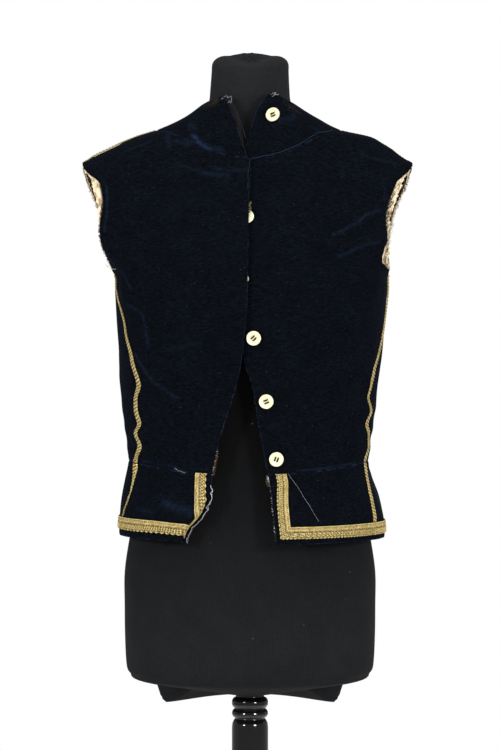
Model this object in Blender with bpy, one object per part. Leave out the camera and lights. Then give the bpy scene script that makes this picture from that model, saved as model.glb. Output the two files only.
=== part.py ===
"""Sleeveless theatrical costume jacket on a limbless dress form.

The jacket is a velvet bodice with a waist seam, a short flared basque and a
funnel collar. Its sleeves are unpicked, so the armholes are raw. It closes
right over left on six sewn buttons, and gold braid trims the seams and hem.
It hangs on a jersey covered dress form that stands on a turned wooden stand.

Metres, +Z up. The wearer faces -Y, so the wearer's right is at -X. The origin
is the centre of the stand's underside, on the floor.

Every cloth piece lies on one surface, which runs through level rings. A place
on it is an angle round the body and a height. The angle is 0 at the middle of
the front, 90 degrees at the wearer's left side and -90 at the right side.
"""
import math
from collections import namedtuple

import bmesh
import bpy
from mathutils import Matrix, Vector
from mathutils.bvhtree import BVHTree

# Cloth and trim
VELVET_THICKNESS = 0.0020
COLLAR_THICKNESS = 0.0025
LINING_THICKNESS = 0.0010
BRAID_THICKNESS = 0.0012
SEAM_GAP = 0.0003
LAYER_GAP = 0.0006
COLLAR_LINING_GAP = 0.0007
ARMHOLE_LINING_GAP = 0.0011
BRAID_END_GAP = 0.0008
HEM_BRAID_WIDTH = 0.0150
HEM_MARGIN = 0.0065
FRONT_BRAID_WIDTH = 0.0145
SIDE_BRAID_WIDTH = 0.0068
SHOULDER_BRAID_WIDTH = 0.0100
LINING_FRINGE = 0.0025
SHARP_EDGE_ANGLE = math.radians(50)

# Ring heights where pieces begin and end
HEMS = {"right": 0.8885, "left": 0.8855}
WAIST = 0.982
ARMPIT = 1.217
SIDE_BACK_END = 1.300
SHOULDER_TIP = 1.3585
NECK_SEAM = 1.400
COLLAR_LINING_START = 1.404
COLLAR_TOP = 1.432

# The right front lies over the left front and its buttons
LAP_ANGLE = 48.0

# Buttons
BUTTON_RADIUS = 0.0095
BUTTON_THICKNESS = 0.0030
BUTTON_RIM_WIDTH = 0.0016
BUTTON_DISH_DEPTH = 0.0007
BUTTON_HOLE_RADIUS = 0.0009
BUTTON_HOLE_SPACING = 0.0034
BUTTON_BACK_SHARE = 0.80
BUTTON_SEGMENTS = 20
BUTTON_HOLE_SEGMENTS = 6
BUTTON_SEAT_SAMPLES = 24
BUTTON_STANDOFF = 0.0005

# Dress form and stand
CLOTH_REST_DROP = 0.0026
FORM_SHOULDER_INSET = 0.0012
FORM_FRONT_CLEARANCE = 0.006
FORM_BACK_CLEARANCE = 0.006
FORM_SEGMENTS = 32
STAND_TOP = 0.6860
STAND_GAP = 0.0003
STAND_SEGMENTS = 24
BASE_RADIUS = 0.190
BASE_BOSS_TOP = 0.046
BASE_SEGMENTS = 40

# Grid cells
FRONT_PLAIN_COLUMNS = 9
CURL_COLUMNS = 4
CURL_REACH = 0.046
SIDE_BACK_COLUMNS = 5
BACK_COLUMNS = 8
COLLAR_ROW_SHARES = (0.38, 0.68, 1.0)
BODICE_ROWS_TO_ARMPIT = 10
BODICE_ROWS_TO_SIDE_BACK_END = 5
BODICE_ROWS_TO_TIP = 4
BODICE_ROWS_TO_NECK = 5
BASQUE_PLAIN_ROWS = 6
FRONT_TRIM_COLUMNS = 3
HEM_TRIM_ROWS = 3
LINING_COLUMNS = 3

# Steps for measuring the surface and for finding a place on it
ANGLE_PROBE = 0.01
FACE_PROBE_TURN = 0.004
FACE_PROBE_RISE = 0.0006
HALVING_STEPS = 40

# A level ring of the jacket: the heights of its side, front and back points,
# its half widths at the wearer's right and left, its depths in front and
# behind, how full its corners are, where 2 is an ellipse, and how narrow the
# dip in front and behind is, where 2 is the widest.
Ring = namedtuple("Ring", "height front_height back_height right left front back fullness dip",
                  defaults=(2.0,))
JACKET_RINGS = (
    Ring(0.884, 0.882, 0.882, 0.1660, 0.1712, 0.1394, 0.1424, 2.20),
    Ring(0.912, 0.909, 0.911, 0.1655, 0.1695, 0.1340, 0.1380, 2.20),
    Ring(0.935, 0.931, 0.935, 0.1630, 0.1626, 0.1290, 0.1310, 2.20),
    Ring(0.958, 0.950, 0.959, 0.1585, 0.1540, 0.1210, 0.1170, 2.25),
    Ring(0.982, 0.968, 0.984, 0.1540, 0.1500, 0.1140, 0.1050, 2.30),
    Ring(1.005, 0.993, 1.006, 0.1553, 0.1515, 0.1145, 0.1040, 2.30),
    Ring(1.040, 1.030, 1.041, 0.1607, 0.1575, 0.1190, 0.1060, 2.25),
    Ring(1.080, 1.071, 1.081, 0.1650, 0.1623, 0.1245, 0.1090, 2.25),
    Ring(1.120, 1.111, 1.121, 0.1664, 0.1680, 0.1290, 0.1130, 2.20),
    Ring(1.160, 1.150, 1.162, 0.1690, 0.1710, 0.1325, 0.1170, 2.20),
    Ring(1.198, 1.187, 1.201, 0.1710, 0.1745, 0.1335, 0.1205, 2.20),
    Ring(1.217, 1.205, 1.220, 0.1715, 0.1755, 0.1330, 0.1220, 2.20),
    Ring(1.240, 1.222, 1.243, 0.1920, 0.1880, 0.1295, 0.1235, 2.15),
    Ring(1.265, 1.240, 1.267, 0.2050, 0.1960, 0.1240, 0.1235, 2.10),
    Ring(1.300, 1.262, 1.300, 0.2115, 0.2000, 0.1170, 0.1210, 2.10),
    Ring(1.335, 1.284, 1.325, 0.2130, 0.2050, 0.1090, 0.1150, 2.05),
    Ring(1.3585, 1.299, 1.338, 0.2125, 0.2065, 0.1035, 0.1080, 2.00),
    Ring(1.364, 1.308, 1.345, 0.2025, 0.1970, 0.1005, 0.1060, 2.00),
    Ring(1.3706, 1.317, 1.352, 0.1905, 0.1875, 0.0975, 0.1040, 2.00),
    Ring(1.3764, 1.326, 1.362, 0.1780, 0.1803, 0.0940, 0.1000, 2.00),
    Ring(1.384, 1.337, 1.377, 0.1620, 0.1680, 0.0900, 0.0940, 2.00, 2.2),
    Ring(1.392, 1.348, 1.392, 0.1448, 0.1525, 0.0860, 0.0870, 2.00, 2.6),
    Ring(1.400, 1.358, 1.408, 0.1195, 0.1165, 0.0820, 0.0800, 2.00, 3.2),
    Ring(1.415, 1.394, 1.424, 0.0862, 0.0866, 0.0800, 0.0740, 2.00, 2.8),
    Ring(1.432, 1.440, 1.444, 0.0610, 0.0580, 0.0780, 0.0660, 2.00, 2.0),
)

# The dress form below and inside the jacket, in the same columns. Its
# shoulders are worked out from the jacket's, which rests there.
FORM_BODY_RINGS = (
    Ring(0.714, 0.709, 0.711, 0.1520, 0.1520, 0.1000, 0.1160, 2.50),
    Ring(0.724, 0.719, 0.722, 0.1565, 0.1565, 0.1040, 0.1200, 2.45),
    Ring(0.760, 0.757, 0.760, 0.1585, 0.1585, 0.1060, 0.1240, 2.40),
    Ring(0.800, 0.798, 0.800, 0.1590, 0.1590, 0.1070, 0.1255, 2.35),
    Ring(0.840, 0.839, 0.840, 0.1590, 0.1590, 0.1060, 0.1240, 2.30),
    Ring(0.880, 0.879, 0.880, 0.1535, 0.1535, 0.1020, 0.1180, 2.30),
    Ring(0.930, 0.929, 0.930, 0.1440, 0.1440, 0.0940, 0.1040, 2.30),
    Ring(0.982, 0.974, 0.983, 0.1330, 0.1330, 0.0870, 0.0850, 2.30),
    Ring(1.040, 1.030, 1.041, 0.1370, 0.1370, 0.0920, 0.0860, 2.25),
    Ring(1.100, 1.091, 1.101, 0.1450, 0.1450, 0.1040, 0.0920, 2.20),
    Ring(1.160, 1.150, 1.162, 0.1500, 0.1500, 0.1140, 0.1000, 2.20),
    Ring(1.217, 1.204, 1.219, 0.1550, 0.1550, 0.1175, 0.1070, 2.20),
    Ring(1.260, 1.236, 1.262, 0.1660, 0.1660, 0.1120, 0.1090, 2.10),
    Ring(1.300, 1.261, 1.299, 0.1760, 0.1760, 0.1050, 0.1080, 2.10),
    Ring(1.330, 1.279, 1.320, 0.1815, 0.1815, 0.0980, 0.1040, 2.05),
    Ring(1.350, 1.291, 1.331, 0.1835, 0.1835, 0.0935, 0.1000, 2.00),
    Ring(1.363, 1.304, 1.342, 0.1825, 0.1825, 0.0905, 0.0980, 2.00),
)
SHOULDER_REST = (1.3764, 1.392)
FORM_NECK_RINGS = (
    Ring(1.395, 1.352, 1.399, 0.1180, 0.1150, 0.0755, 0.0730, 2.00, 3.0),
    Ring(1.4005, 1.370, 1.406, 0.0960, 0.0950, 0.0705, 0.0660, 2.00, 2.8),
    Ring(1.4105, 1.390, 1.417, 0.0735, 0.0735, 0.0650, 0.0600, 2.00, 2.4),
    Ring(1.4225, 1.410, 1.429, 0.0595, 0.0585, 0.0600, 0.0550, 2.00),
    Ring(1.436, 1.429, 1.440, 0.0523, 0.0518, 0.0565, 0.0520, 2.00),
    Ring(1.455, 1.450, 1.457, 0.0503, 0.0500, 0.0550, 0.0500, 2.00),
    Ring(1.474, 1.469, 1.479, 0.0488, 0.0488, 0.0540, 0.0490, 2.00),
    Ring(1.485, 1.479, 1.492, 0.0472, 0.0472, 0.0520, 0.0470, 2.00),
    Ring(1.493, 1.486, 1.499, 0.0410, 0.0410, 0.0455, 0.0410, 2.00),
    Ring(1.497, 1.491, 1.5015, 0.0290, 0.0290, 0.0320, 0.0290, 2.00),
    Ring(1.4975, 1.4935, 1.5010, 0.0140, 0.0140, 0.0160, 0.0140, 2.00),
    Ring(1.4955, 1.4945, 1.4965, 0.0050, 0.0050, 0.0050, 0.0050, 2.00),
)
# The form's underside, from its middle outwards
FORM_UNDERSIDE_RINGS = (
    Ring(0.6863, 0.6863, 0.6863, 0.0300, 0.0300, 0.0300, 0.0300, 2.00),
    Ring(0.6960, 0.6950, 0.7000, 0.0900, 0.0900, 0.0650, 0.0700, 2.20),
    Ring(0.7060, 0.7030, 0.7060, 0.1430, 0.1430, 0.0930, 0.1080, 2.45),
)
# The form's seat hangs lower behind, between two corners
SEAT_DROP = 0.046
SEAT_CORNERS = (math.radians(126), math.radians(137))
SEAT_HEIGHTS = (0.716, 0.800)
SEAT_MIDDLE_RISE = 0.18
UNDERSIDE_DROPS = (0.0, 0.25, 0.90)

# Front edges of the two fronts: the place of each along X at a real height
EdgePoint = namedtuple("EdgePoint", "height right left")
FRONT_EDGES = (
    EdgePoint(0.884, -0.0470, 0.0323),
    EdgePoint(0.903, -0.0468, 0.0300),
    EdgePoint(0.930, -0.0468, 0.0272),
    EdgePoint(0.949, -0.0467, 0.0254),
    EdgePoint(0.965, -0.0462, 0.0222),
    EdgePoint(0.981, -0.0435, 0.0195),
    EdgePoint(1.013, -0.0367, 0.0138),
    EdgePoint(1.036, -0.0293, 0.0095),
    EdgePoint(1.063, -0.0208, 0.0050),
    EdgePoint(1.078, -0.0159, 0.0020),
    EdgePoint(1.102, -0.0110, -0.0060),
    EdgePoint(1.135, -0.0067, -0.0098),
    EdgePoint(1.169, -0.0037, -0.0160),
    EdgePoint(1.207, -0.0025, -0.0215),
    EdgePoint(1.243, -0.0020, -0.0200),
    EdgePoint(1.304, -0.0010, -0.0160),
    EdgePoint(1.349, 0.0010, -0.0085),
    EdgePoint(1.361, -0.0037, -0.0085),
    EdgePoint(1.374, -0.0086, -0.0049),
    EdgePoint(1.395, -0.0148, 0.0020),
    EdgePoint(1.415, -0.0222, 0.0090),
    EdgePoint(1.433, -0.0309, 0.0215),
    EdgePoint(1.443, -0.0335, 0.0310),
)

# Raw armhole edges: the place along X of the front and back edges
ArmholeEdge = namedtuple("ArmholeEdge", "height right_front right_back left_front left_back")
ARMHOLE_EDGES = (
    ArmholeEdge(1.2245, 0.1715, 0.1765, 0.1660, 0.1790),
    ArmholeEdge(1.2370, 0.1790, 0.1810, 0.1695, 0.1790),
    ArmholeEdge(1.2560, 0.1860, 0.1850, 0.1722, 0.1790),
    ArmholeEdge(1.2740, 0.1880, 0.1895, 0.1708, 0.1810),
    ArmholeEdge(1.3000, 0.1860, 0.1955, 0.1693, 0.1870),
    ArmholeEdge(1.3150, 0.1840, 0.2010, 0.1722, 0.1930),
    ArmholeEdge(1.3310, 0.1855, 0.2070, 0.1780, 0.2005),
    ArmholeEdge(1.3440, 0.1890, 0.2110, 0.1850, 0.2045),
    ArmholeEdge(1.3530, 0.1990, 0.2128, 0.1920, 0.2062),
)

# Seams down the jacket, as angles round the body
SeamAngle = namedtuple("SeamAngle", "height right_side left_side side_back")
SEAM_ANGLES = (
    SeamAngle(0.886, 79.0, 64.0, 143.0),
    SeamAngle(0.916, 73.5, 66.5, 143.0),
    SeamAngle(0.954, 67.5, 71.5, 142.5),
    SeamAngle(0.985, 65.5, 73.8, 142.0),
    SeamAngle(1.019, 61.0, 71.0, 141.5),
    SeamAngle(1.045, 58.8, 68.0, 141.0),
    SeamAngle(1.079, 57.0, 67.5, 140.5),
    SeamAngle(1.118, 61.5, 73.0, 139.5),
    SeamAngle(1.157, 68.0, 81.5, 138.0),
    SeamAngle(1.198, 78.0, 85.5, 135.5),
    SeamAngle(1.217, 84.0, 86.0, 133.5),
    SeamAngle(1.260, 84.0, 86.0, 126.0),
    SeamAngle(1.300, 84.0, 86.0, 117.0),
)

# Folds and pulls in the cloth: where each starts and ends, how wide it is and
# how far it rises from the face. A trough has a negative rise.
Fold = namedtuple("Fold", "angle_from height_from angle_to height_to width rise")
FOLDS = (
    Fold(-66, 1.198, -46, 1.128, 0.013, 0.0035),
    Fold(-58, 1.176, -36, 1.120, 0.013, -0.0020),
    Fold(-57, 1.108, -32, 1.066, 0.012, 0.0032),
    Fold(-26, 1.330, -4, 1.300, 0.014, 0.0022),
    Fold(-52, 1.300, -30, 1.262, 0.014, 0.0022),
    Fold(-36, 1.060, -22, 0.990, 0.012, 0.0020),
    Fold(54, 1.310, 28, 1.283, 0.012, 0.0036),
    Fold(56, 1.292, 34, 1.268, 0.011, -0.0020),
    Fold(54, 1.276, 31, 1.256, 0.012, 0.0032),
    Fold(62, 1.196, 44, 1.150, 0.013, 0.0026),
    Fold(48, 1.060, 24, 1.020, 0.012, 0.0022),
    Fold(-56, 0.997, -104, 0.998, 0.010, 0.0026),
    Fold(-52, 1.020, -100, 1.022, 0.010, 0.0030),
    Fold(-54, 1.045, -96, 1.049, 0.010, 0.0026),
    Fold(58, 0.998, 106, 0.997, 0.010, 0.0028),
    Fold(60, 1.022, 102, 1.021, 0.010, 0.0030),
    Fold(62, 1.048, 96, 1.050, 0.010, 0.0024),
    Fold(-112, 1.190, -142, 1.120, 0.014, 0.0030),
    Fold(114, 1.200, 146, 1.140, 0.014, 0.0028),
    Fold(-126, 1.280, -156, 1.250, 0.014, 0.0024),
    Fold(128, 1.276, 154, 1.240, 0.014, 0.0022),
    Fold(-128, 1.012, -172, 1.006, 0.011, 0.0026),
    Fold(126, 1.014, 170, 1.010, 0.011, 0.0028),
    Fold(-132, 1.040, -168, 1.036, 0.011, 0.0020),
    Fold(-40, 0.960, -52, 0.900, 0.016, 0.0030),
    Fold(40, 0.960, 48, 0.900, 0.016, 0.0034),
    Fold(98, 0.960, 100, 0.896, 0.016, 0.0040),
    Fold(-102, 0.960, -106, 0.896, 0.016, 0.0040),
    Fold(136, 0.962, 140, 0.894, 0.016, 0.0044),
    Fold(-138, 0.962, -142, 0.894, 0.016, 0.0044),
    Fold(168, 0.962, 170, 0.894, 0.014, 0.0040),
    Fold(-166, 0.962, -168, 0.894, 0.014, 0.0040),
)
FOLD_ARC_RADIUS = 0.150
FOLD_END_STRENGTH = 0.35
FOLD_CREST_SHIFT = 0.25

# How far the right front is lifted at its edge, to lie over the left front
LapLift = namedtuple("LapLift", "height rise")
LAP_LIFTS = (
    LapLift(0.886, 0.0020),
    LapLift(0.982, 0.0025),
    LapLift(1.060, 0.0050),
    LapLift(1.120, 0.0072),
    LapLift(1.340, 0.0072),
    LapLift(1.400, 0.0066),
    LapLift(1.415, 0.0045),
    LapLift(1.432, 0.0025),
)

# The collar's left corner stands higher than its right corner
COLLAR_LEFT_RISE = 0.0050
COLLAR_LEFT_RISE_ANGLES = (math.radians(-305), math.radians(-340))

# How far the collar's lining shows past its right end
LiningPeek = namedtuple("LiningPeek", "height width")
COLLAR_LINING_PEEKS = (LiningPeek(1.404, 0.0010), LiningPeek(1.420, 0.0040), LiningPeek(1.432, 0.0045))

# Plain velvet between each front edge and the braid beside it
Margin = namedtuple("Margin", "height right left")
FRONT_MARGINS = (
    Margin(0.884, 0.0072, 0.0056),
    Margin(0.930, 0.0072, 0.0058),
    Margin(0.950, 0.0072, 0.0070),
    Margin(0.970, 0.0072, 0.0100),
)

# The lower corner of the right front curls back on itself. The cloth turns
# inwards at its first bend and forwards again at its second. Both bends are
# given by their distance from the front edge, with the turn in degrees.
CurlBend = namedtuple("CurlBend", "height first second turn")
CURL_BENDS = (
    CurlBend(0.8840, 0.0440, 0.0125, 121),
    CurlBend(0.8925, 0.0438, 0.0130, 119),
    CurlBend(0.9010, 0.0418, 0.0130, 117),
    CurlBend(0.9090, 0.0370, 0.0122, 114),
    CurlBend(0.9165, 0.0288, 0.0112, 110),
    CurlBend(0.9245, 0.0218, 0.0098, 104),
    CurlBend(0.9340, 0.0170, 0.0086, 96),
    CurlBend(0.9430, 0.0134, 0.0078, 62),
    CurlBend(0.9520, 0.0100, 0.0076, 0),
)
CURL_BEND_LENGTH = 0.008
CURL_UNBEND_LENGTH = 0.004
CURL_STRIP_SHARE = 0.15
CURL_STEP = 0.001

# Places of the buttons on the wearer's left front, across and up
ButtonPlace = namedtuple("ButtonPlace", "name across up")
BUTTON_PLACES = (
    ButtonPlace("button_collar", 0.0258, 1.4088),
    ButtonPlace("button_chest", -0.0037, 1.2830),
    ButtonPlace("button_bust", -0.0085, 1.2065),
    ButtonPlace("button_midriff", 0.0043, 1.1350),
    ButtonPlace("button_above_waist", 0.0195, 1.0580),
    ButtonPlace("button_waist", 0.0318, 0.9870),
)

# Turned profiles, from the top down: radius and height
ProfilePoint = namedtuple("ProfilePoint", "radius height")
STAND_PROFILE = (
    ProfilePoint(0.0178, STAND_TOP),
    ProfilePoint(0.0178, 0.6815),
    ProfilePoint(0.0212, 0.6802),
    ProfilePoint(0.0229, 0.6768),
    ProfilePoint(0.0229, 0.6716),
    ProfilePoint(0.0212, 0.6682),
    ProfilePoint(0.0188, 0.6670),
    ProfilePoint(0.0214, 0.6654),
    ProfilePoint(0.0229, 0.6624),
    ProfilePoint(0.0229, 0.6592),
    ProfilePoint(0.0214, 0.6562),
    ProfilePoint(0.0186, 0.6550),
    ProfilePoint(0.0206, 0.6522),
    ProfilePoint(0.0224, 0.6485),
    ProfilePoint(0.0230, 0.6430),
    ProfilePoint(0.0230, 0.1400),
    ProfilePoint(0.0200, 0.1330),
    ProfilePoint(0.0230, 0.1290),
    ProfilePoint(0.0252, 0.1220),
    ProfilePoint(0.0230, 0.1150),
    ProfilePoint(0.0195, 0.1110),
    ProfilePoint(0.0205, 0.0900),
    ProfilePoint(0.0270, 0.0620),
    ProfilePoint(0.0300, BASE_BOSS_TOP + STAND_GAP),
)
BASE_PROFILE = (
    ProfilePoint(0.0360, BASE_BOSS_TOP),
    ProfilePoint(0.0400, 0.0430),
    ProfilePoint(0.0420, 0.0370),
    ProfilePoint(0.0560, 0.0325),
    ProfilePoint(0.1500, 0.0270),
    ProfilePoint(0.1790, 0.0240),
    ProfilePoint(0.1875, 0.0190),
    ProfilePoint(BASE_RADIUS, 0.0120),
    ProfilePoint(0.1880, 0.0040),
    ProfilePoint(0.1840, 0.0000),
)

# Finishes: base colour, roughness and how metallic each is
Finish = namedtuple("Finish", "name colour roughness metallic")
VELVET = Finish("velvet", (0.004, 0.006, 0.016), 0.85, 0.0)
GOLD_BRAID = Finish("gold_braid", (0.46, 0.31, 0.10), 0.45, 0.35)
COTTON_LINING = Finish("cotton_lining", (0.55, 0.42, 0.28), 0.90, 0.0)
BROWN_LINING = Finish("brown_lining", (0.07, 0.035, 0.018), 0.90, 0.0)
IVORY = Finish("ivory_button", (0.82, 0.76, 0.60), 0.35, 0.0)
BLACK_JERSEY = Finish("black_jersey", (0.008, 0.008, 0.009), 0.95, 0.0)
BLACK_LACQUER = Finish("black_lacquer", (0.005, 0.005, 0.005), 0.15, 0.0)


def interpolate(rows, height, column):
    """Smooth value of one column of a table whose rows climb in height."""
    heights = [row.height for row in rows]
    values = [getattr(row, column) for row in rows]
    if height <= heights[0]:
        return values[0]
    if height >= heights[-1]:
        return values[-1]
    index = next(i for i in range(len(rows) - 1) if height <= heights[i + 1])
    span = heights[index + 1] - heights[index]

    def slope(i):
        before, after = max(i - 1, 0), min(i + 1, len(rows) - 1)
        return (values[after] - values[before]) / (heights[after] - heights[before])

    t = (height - heights[index]) / span
    return (values[index] * (1 + 2 * t) * (1 - t) ** 2
            + slope(index) * span * t * (1 - t) ** 2
            + values[index + 1] * t ** 2 * (3 - 2 * t)
            + slope(index + 1) * span * t ** 2 * (t - 1))


def smooth_step(start, end, value):
    """Rise from 0 at start to 1 at end, level at both."""
    t = min(1.0, max(0.0, (value - start) / (end - start)))
    return t * t * (3 - 2 * t)


RING_CACHE = {}


def jacket_ring(height):
    """The jacket's ring at any height between its tabled rings."""
    key = round(height, 7)
    if key not in RING_CACHE:
        columns = [interpolate(JACKET_RINGS, height, name) for name in Ring._fields[1:]]
        RING_CACHE[key] = Ring(height, *columns)
    return RING_CACHE[key]


def ring_point(ring, angle):
    """Point of a ring at an angle in radians."""
    sine, cosine = math.sin(angle), math.cos(angle)
    power = 2.0 / ring.fullness
    half_width = ring.left if sine > 0 else ring.right
    depth = ring.front if cosine > 0 else ring.back
    end_height = ring.front_height if cosine > 0 else ring.back_height
    return Vector((
        math.copysign(half_width * abs(sine) ** power, sine),
        -math.copysign(depth * abs(cosine) ** power, cosine),
        ring.height + (end_height - ring.height) * abs(cosine) ** ring.dip,
    ))


def angle_across(across, height):
    """Angle in front at which the ring at a height crosses a place along X."""
    ring = jacket_ring(height)
    half_width = ring.left if across > 0 else ring.right
    share = min(1.0, abs(across) / half_width)
    return math.copysign(math.asin(share ** (ring.fullness / 2.0)), across)


def arc_per_radian(angle, height):
    """Length walked along the ring at a height for each radian of angle."""
    ring = jacket_ring(height)
    step = ring_point(ring, angle + ANGLE_PROBE) - ring_point(ring, angle - ANGLE_PROBE)
    return step.length / (2 * ANGLE_PROBE)


def turn_along(angle, height, length):
    """Angle reached by walking a short length round the ring."""
    return angle + length / arc_per_radian(angle, height)


def face_direction(surface, angle, height):
    """Outward direction of a surface given as a function of angle and height."""
    low = max(height - FACE_PROBE_RISE, JACKET_RINGS[0].height)
    high = min(height + FACE_PROBE_RISE, COLLAR_TOP)
    across = surface(angle + FACE_PROBE_TURN, height) - surface(angle - FACE_PROBE_TURN, height)
    up = surface(angle, high) - surface(angle, low)
    return across.cross(up).normalized()


def plain_surface(angle, height):
    """The jacket's rings with no folds."""
    return ring_point(jacket_ring(height), angle)


def fold_rise(angle, height):
    """Sum of the folds at one place of the jacket."""
    around = math.degrees(math.atan2(math.sin(angle), math.cos(angle)))
    arc = math.radians(FOLD_ARC_RADIUS)
    total = 0.0
    for fold in FOLDS:
        run = Vector(((fold.angle_to - fold.angle_from) * arc, fold.height_to - fold.height_from))
        place = Vector(((around - fold.angle_from) * arc, height - fold.height_from))
        share = min(1.0, max(0.0, place.dot(run) / run.length_squared))
        distance = (place - run * share).length
        crest = math.sin(math.pi * min(1.0, share + FOLD_CREST_SHIFT))
        strength = FOLD_END_STRENGTH + (1 - FOLD_END_STRENGTH) * crest
        total += fold.rise * strength * math.exp(-(distance / fold.width) ** 2)
    return total


def lap_rise(angle, height):
    """Lift of the right front towards its edge."""
    lift = interpolate(LAP_LIFTS, height, "rise")
    return lift * smooth_step(-math.radians(LAP_ANGLE), 0.0, angle)


def curl_shift(angle, height):
    """Where the curled corner carries a place: the new angle, and how far in."""
    first = interpolate(CURL_BENDS, height, "first")
    second = interpolate(CURL_BENDS, height, "second")
    full_turn = math.radians(interpolate(CURL_BENDS, height, "turn"))
    start = turn_along(right_edge_angle(height), height, -first)
    if angle <= start or full_turn < math.radians(1):
        return angle, 0.0
    arc = arc_per_radian(start, height)
    length = (angle - start) * arc
    back_from = first - second
    along, inward, walked = 0.0, 0.0, 0.0
    while walked < length:
        step = min(CURL_STEP, length - walked)
        middle = walked + step / 2
        turned_in = smooth_step(0.0, CURL_BEND_LENGTH, middle)
        turned_out = smooth_step(back_from, back_from + CURL_UNBEND_LENGTH, middle)
        turn = full_turn * turned_in * (1 - (1 - CURL_STRIP_SHARE) * turned_out)
        along += step * math.cos(turn)
        inward += step * math.sin(turn)
        walked += step
    return start + along / arc, inward


def draped_surface(angle, height):
    """The jacket with its folds, as the left side lies."""
    outward = face_direction(plain_surface, angle, height)
    return plain_surface(angle, height) + outward * fold_rise(angle, height)


def lapped_surface(angle, height):
    """The jacket with its folds, lapped and curled as the right side lies."""
    inward = 0.0
    if height < CURL_BENDS[-1].height and angle > -math.radians(LAP_ANGLE):
        angle, inward = curl_shift(angle, height)
    outward = face_direction(plain_surface, angle, height)
    rise = fold_rise(angle, height) + lap_rise(angle, height) - inward
    corner = smooth_step(NECK_SEAM, COLLAR_TOP, height) * smooth_step(*COLLAR_LEFT_RISE_ANGLES, angle)
    lifted = Vector((0, 0, COLLAR_LEFT_RISE * corner))
    return plain_surface(angle, height) + outward * rise + lifted


def right_edge_angle(height):
    """Angle of the right front's edge on the ring at a height."""
    return angle_across(interpolate(FRONT_EDGES, jacket_ring(height).front_height, "right"), height)


def left_edge_angle(height):
    """Angle of the left front's edge on the ring at a height."""
    return angle_across(interpolate(FRONT_EDGES, jacket_ring(height).front_height, "left"), height)


def armhole_angle(height, column):
    """Angle of an armhole edge, from the front for a front edge."""
    side = 0.5 * math.pi
    if height >= SHOULDER_TIP:
        return side
    ring = jacket_ring(height)
    half_width = ring.right if column.startswith("right") else ring.left
    share = min(1.0, interpolate(ARMHOLE_EDGES, height, column) / half_width)
    angle = math.asin(share ** (ring.fullness / 2.0))
    return math.pi - angle if column.endswith("back") else angle


def side_seam_angle(height, side):
    """Angle of the side seam on one side, without its sign."""
    return math.radians(interpolate(SEAM_ANGLES, height, side + "_side"))


def side_back_seam_angle(height):
    """Angle of the seam between side back and back, without its sign."""
    return math.radians(interpolate(SEAM_ANGLES, height, "side_back"))


def even_steps(start, end, count):
    """Count + 1 values from start to end."""
    return [start + (end - start) * step / count for step in range(count + 1)]


def bodice_heights():
    """Ring heights of the bodice's rows, shared by all its panels."""
    heights = even_steps(WAIST + SEAM_GAP / 2, ARMPIT, BODICE_ROWS_TO_ARMPIT)
    heights += even_steps(ARMPIT, SIDE_BACK_END, BODICE_ROWS_TO_SIDE_BACK_END)[1:]
    heights += even_steps(SIDE_BACK_END, SHOULDER_TIP, BODICE_ROWS_TO_TIP)[1:]
    heights += even_steps(SHOULDER_TIP, NECK_SEAM - SEAM_GAP / 2, BODICE_ROWS_TO_NECK)[1:]
    return heights


def basque_heights(side):
    """Ring heights of the basque's rows: margin, braid, then plain velvet."""
    hem = HEMS[side]
    braid_top = hem + HEM_MARGIN + HEM_BRAID_WIDTH
    return ([hem, hem + HEM_MARGIN, hem + HEM_MARGIN + HEM_BRAID_WIDTH / 2]
            + even_steps(braid_top, WAIST - SEAM_GAP / 2, BASQUE_PLAIN_ROWS))


def front_angles(height, side):
    """Column angles of a front: margin, braid, narrow and wide columns, side braid."""
    sign = -1 if side == "right" else 1
    edge = right_edge_angle(height) if side == "right" else left_edge_angle(height)
    margin = interpolate(FRONT_MARGINS, height, side)
    braid_columns = [0.0, margin, margin + FRONT_BRAID_WIDTH / 2, margin + FRONT_BRAID_WIDTH]
    angles = [turn_along(edge, height, sign * width) for width in braid_columns]
    if height <= ARMPIT:
        outer = side_seam_angle(height, side)
        gap = SEAM_GAP / 2
    elif height < SHOULDER_TIP:
        outer = armhole_angle(height, side + "_front")
        gap = 0.0
    else:
        outer = 0.5 * math.pi
        gap = SEAM_GAP / 2
    last = sign * outer
    last = turn_along(last, height, -sign * gap)
    braid_start = turn_along(last, height, -sign * SIDE_BRAID_WIDTH)
    curl_start = turn_along(edge, height, sign * CURL_REACH)
    angles += even_steps(angles[-1], curl_start, CURL_COLUMNS)[1:]
    angles += even_steps(curl_start, braid_start, FRONT_PLAIN_COLUMNS)[1:]
    return angles + [last]


def side_back_angles(height, side):
    """Column angles of a side back, from the side seam to the back."""
    sign = -1 if side == "right" else 1
    if height <= ARMPIT:
        first = turn_along(sign * side_seam_angle(height, side), height, sign * SEAM_GAP / 2)
    else:
        first = sign * armhole_angle(height, side + "_back")
    last = turn_along(sign * side_back_seam_angle(height), height, -sign * SEAM_GAP / 2)
    return even_steps(first, last, SIDE_BACK_COLUMNS)


def back_angles(height, side):
    """Column angles of a back, from the side back seam to the middle."""
    sign = -1 if side == "right" else 1
    if height <= SIDE_BACK_END:
        first = turn_along(sign * side_back_seam_angle(height), height, sign * SEAM_GAP / 2)
    elif height < SHOULDER_TIP:
        first = sign * armhole_angle(height, side + "_back")
    else:
        first = turn_along(sign * 0.5 * math.pi, height, sign * SEAM_GAP / 2)
    last = turn_along(sign * math.pi, height, -sign * SEAM_GAP / 2)
    second = turn_along(first, height, sign * SHOULDER_BRAID_WIDTH)
    return [first] + even_steps(second, last, BACK_COLUMNS - 1)


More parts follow.
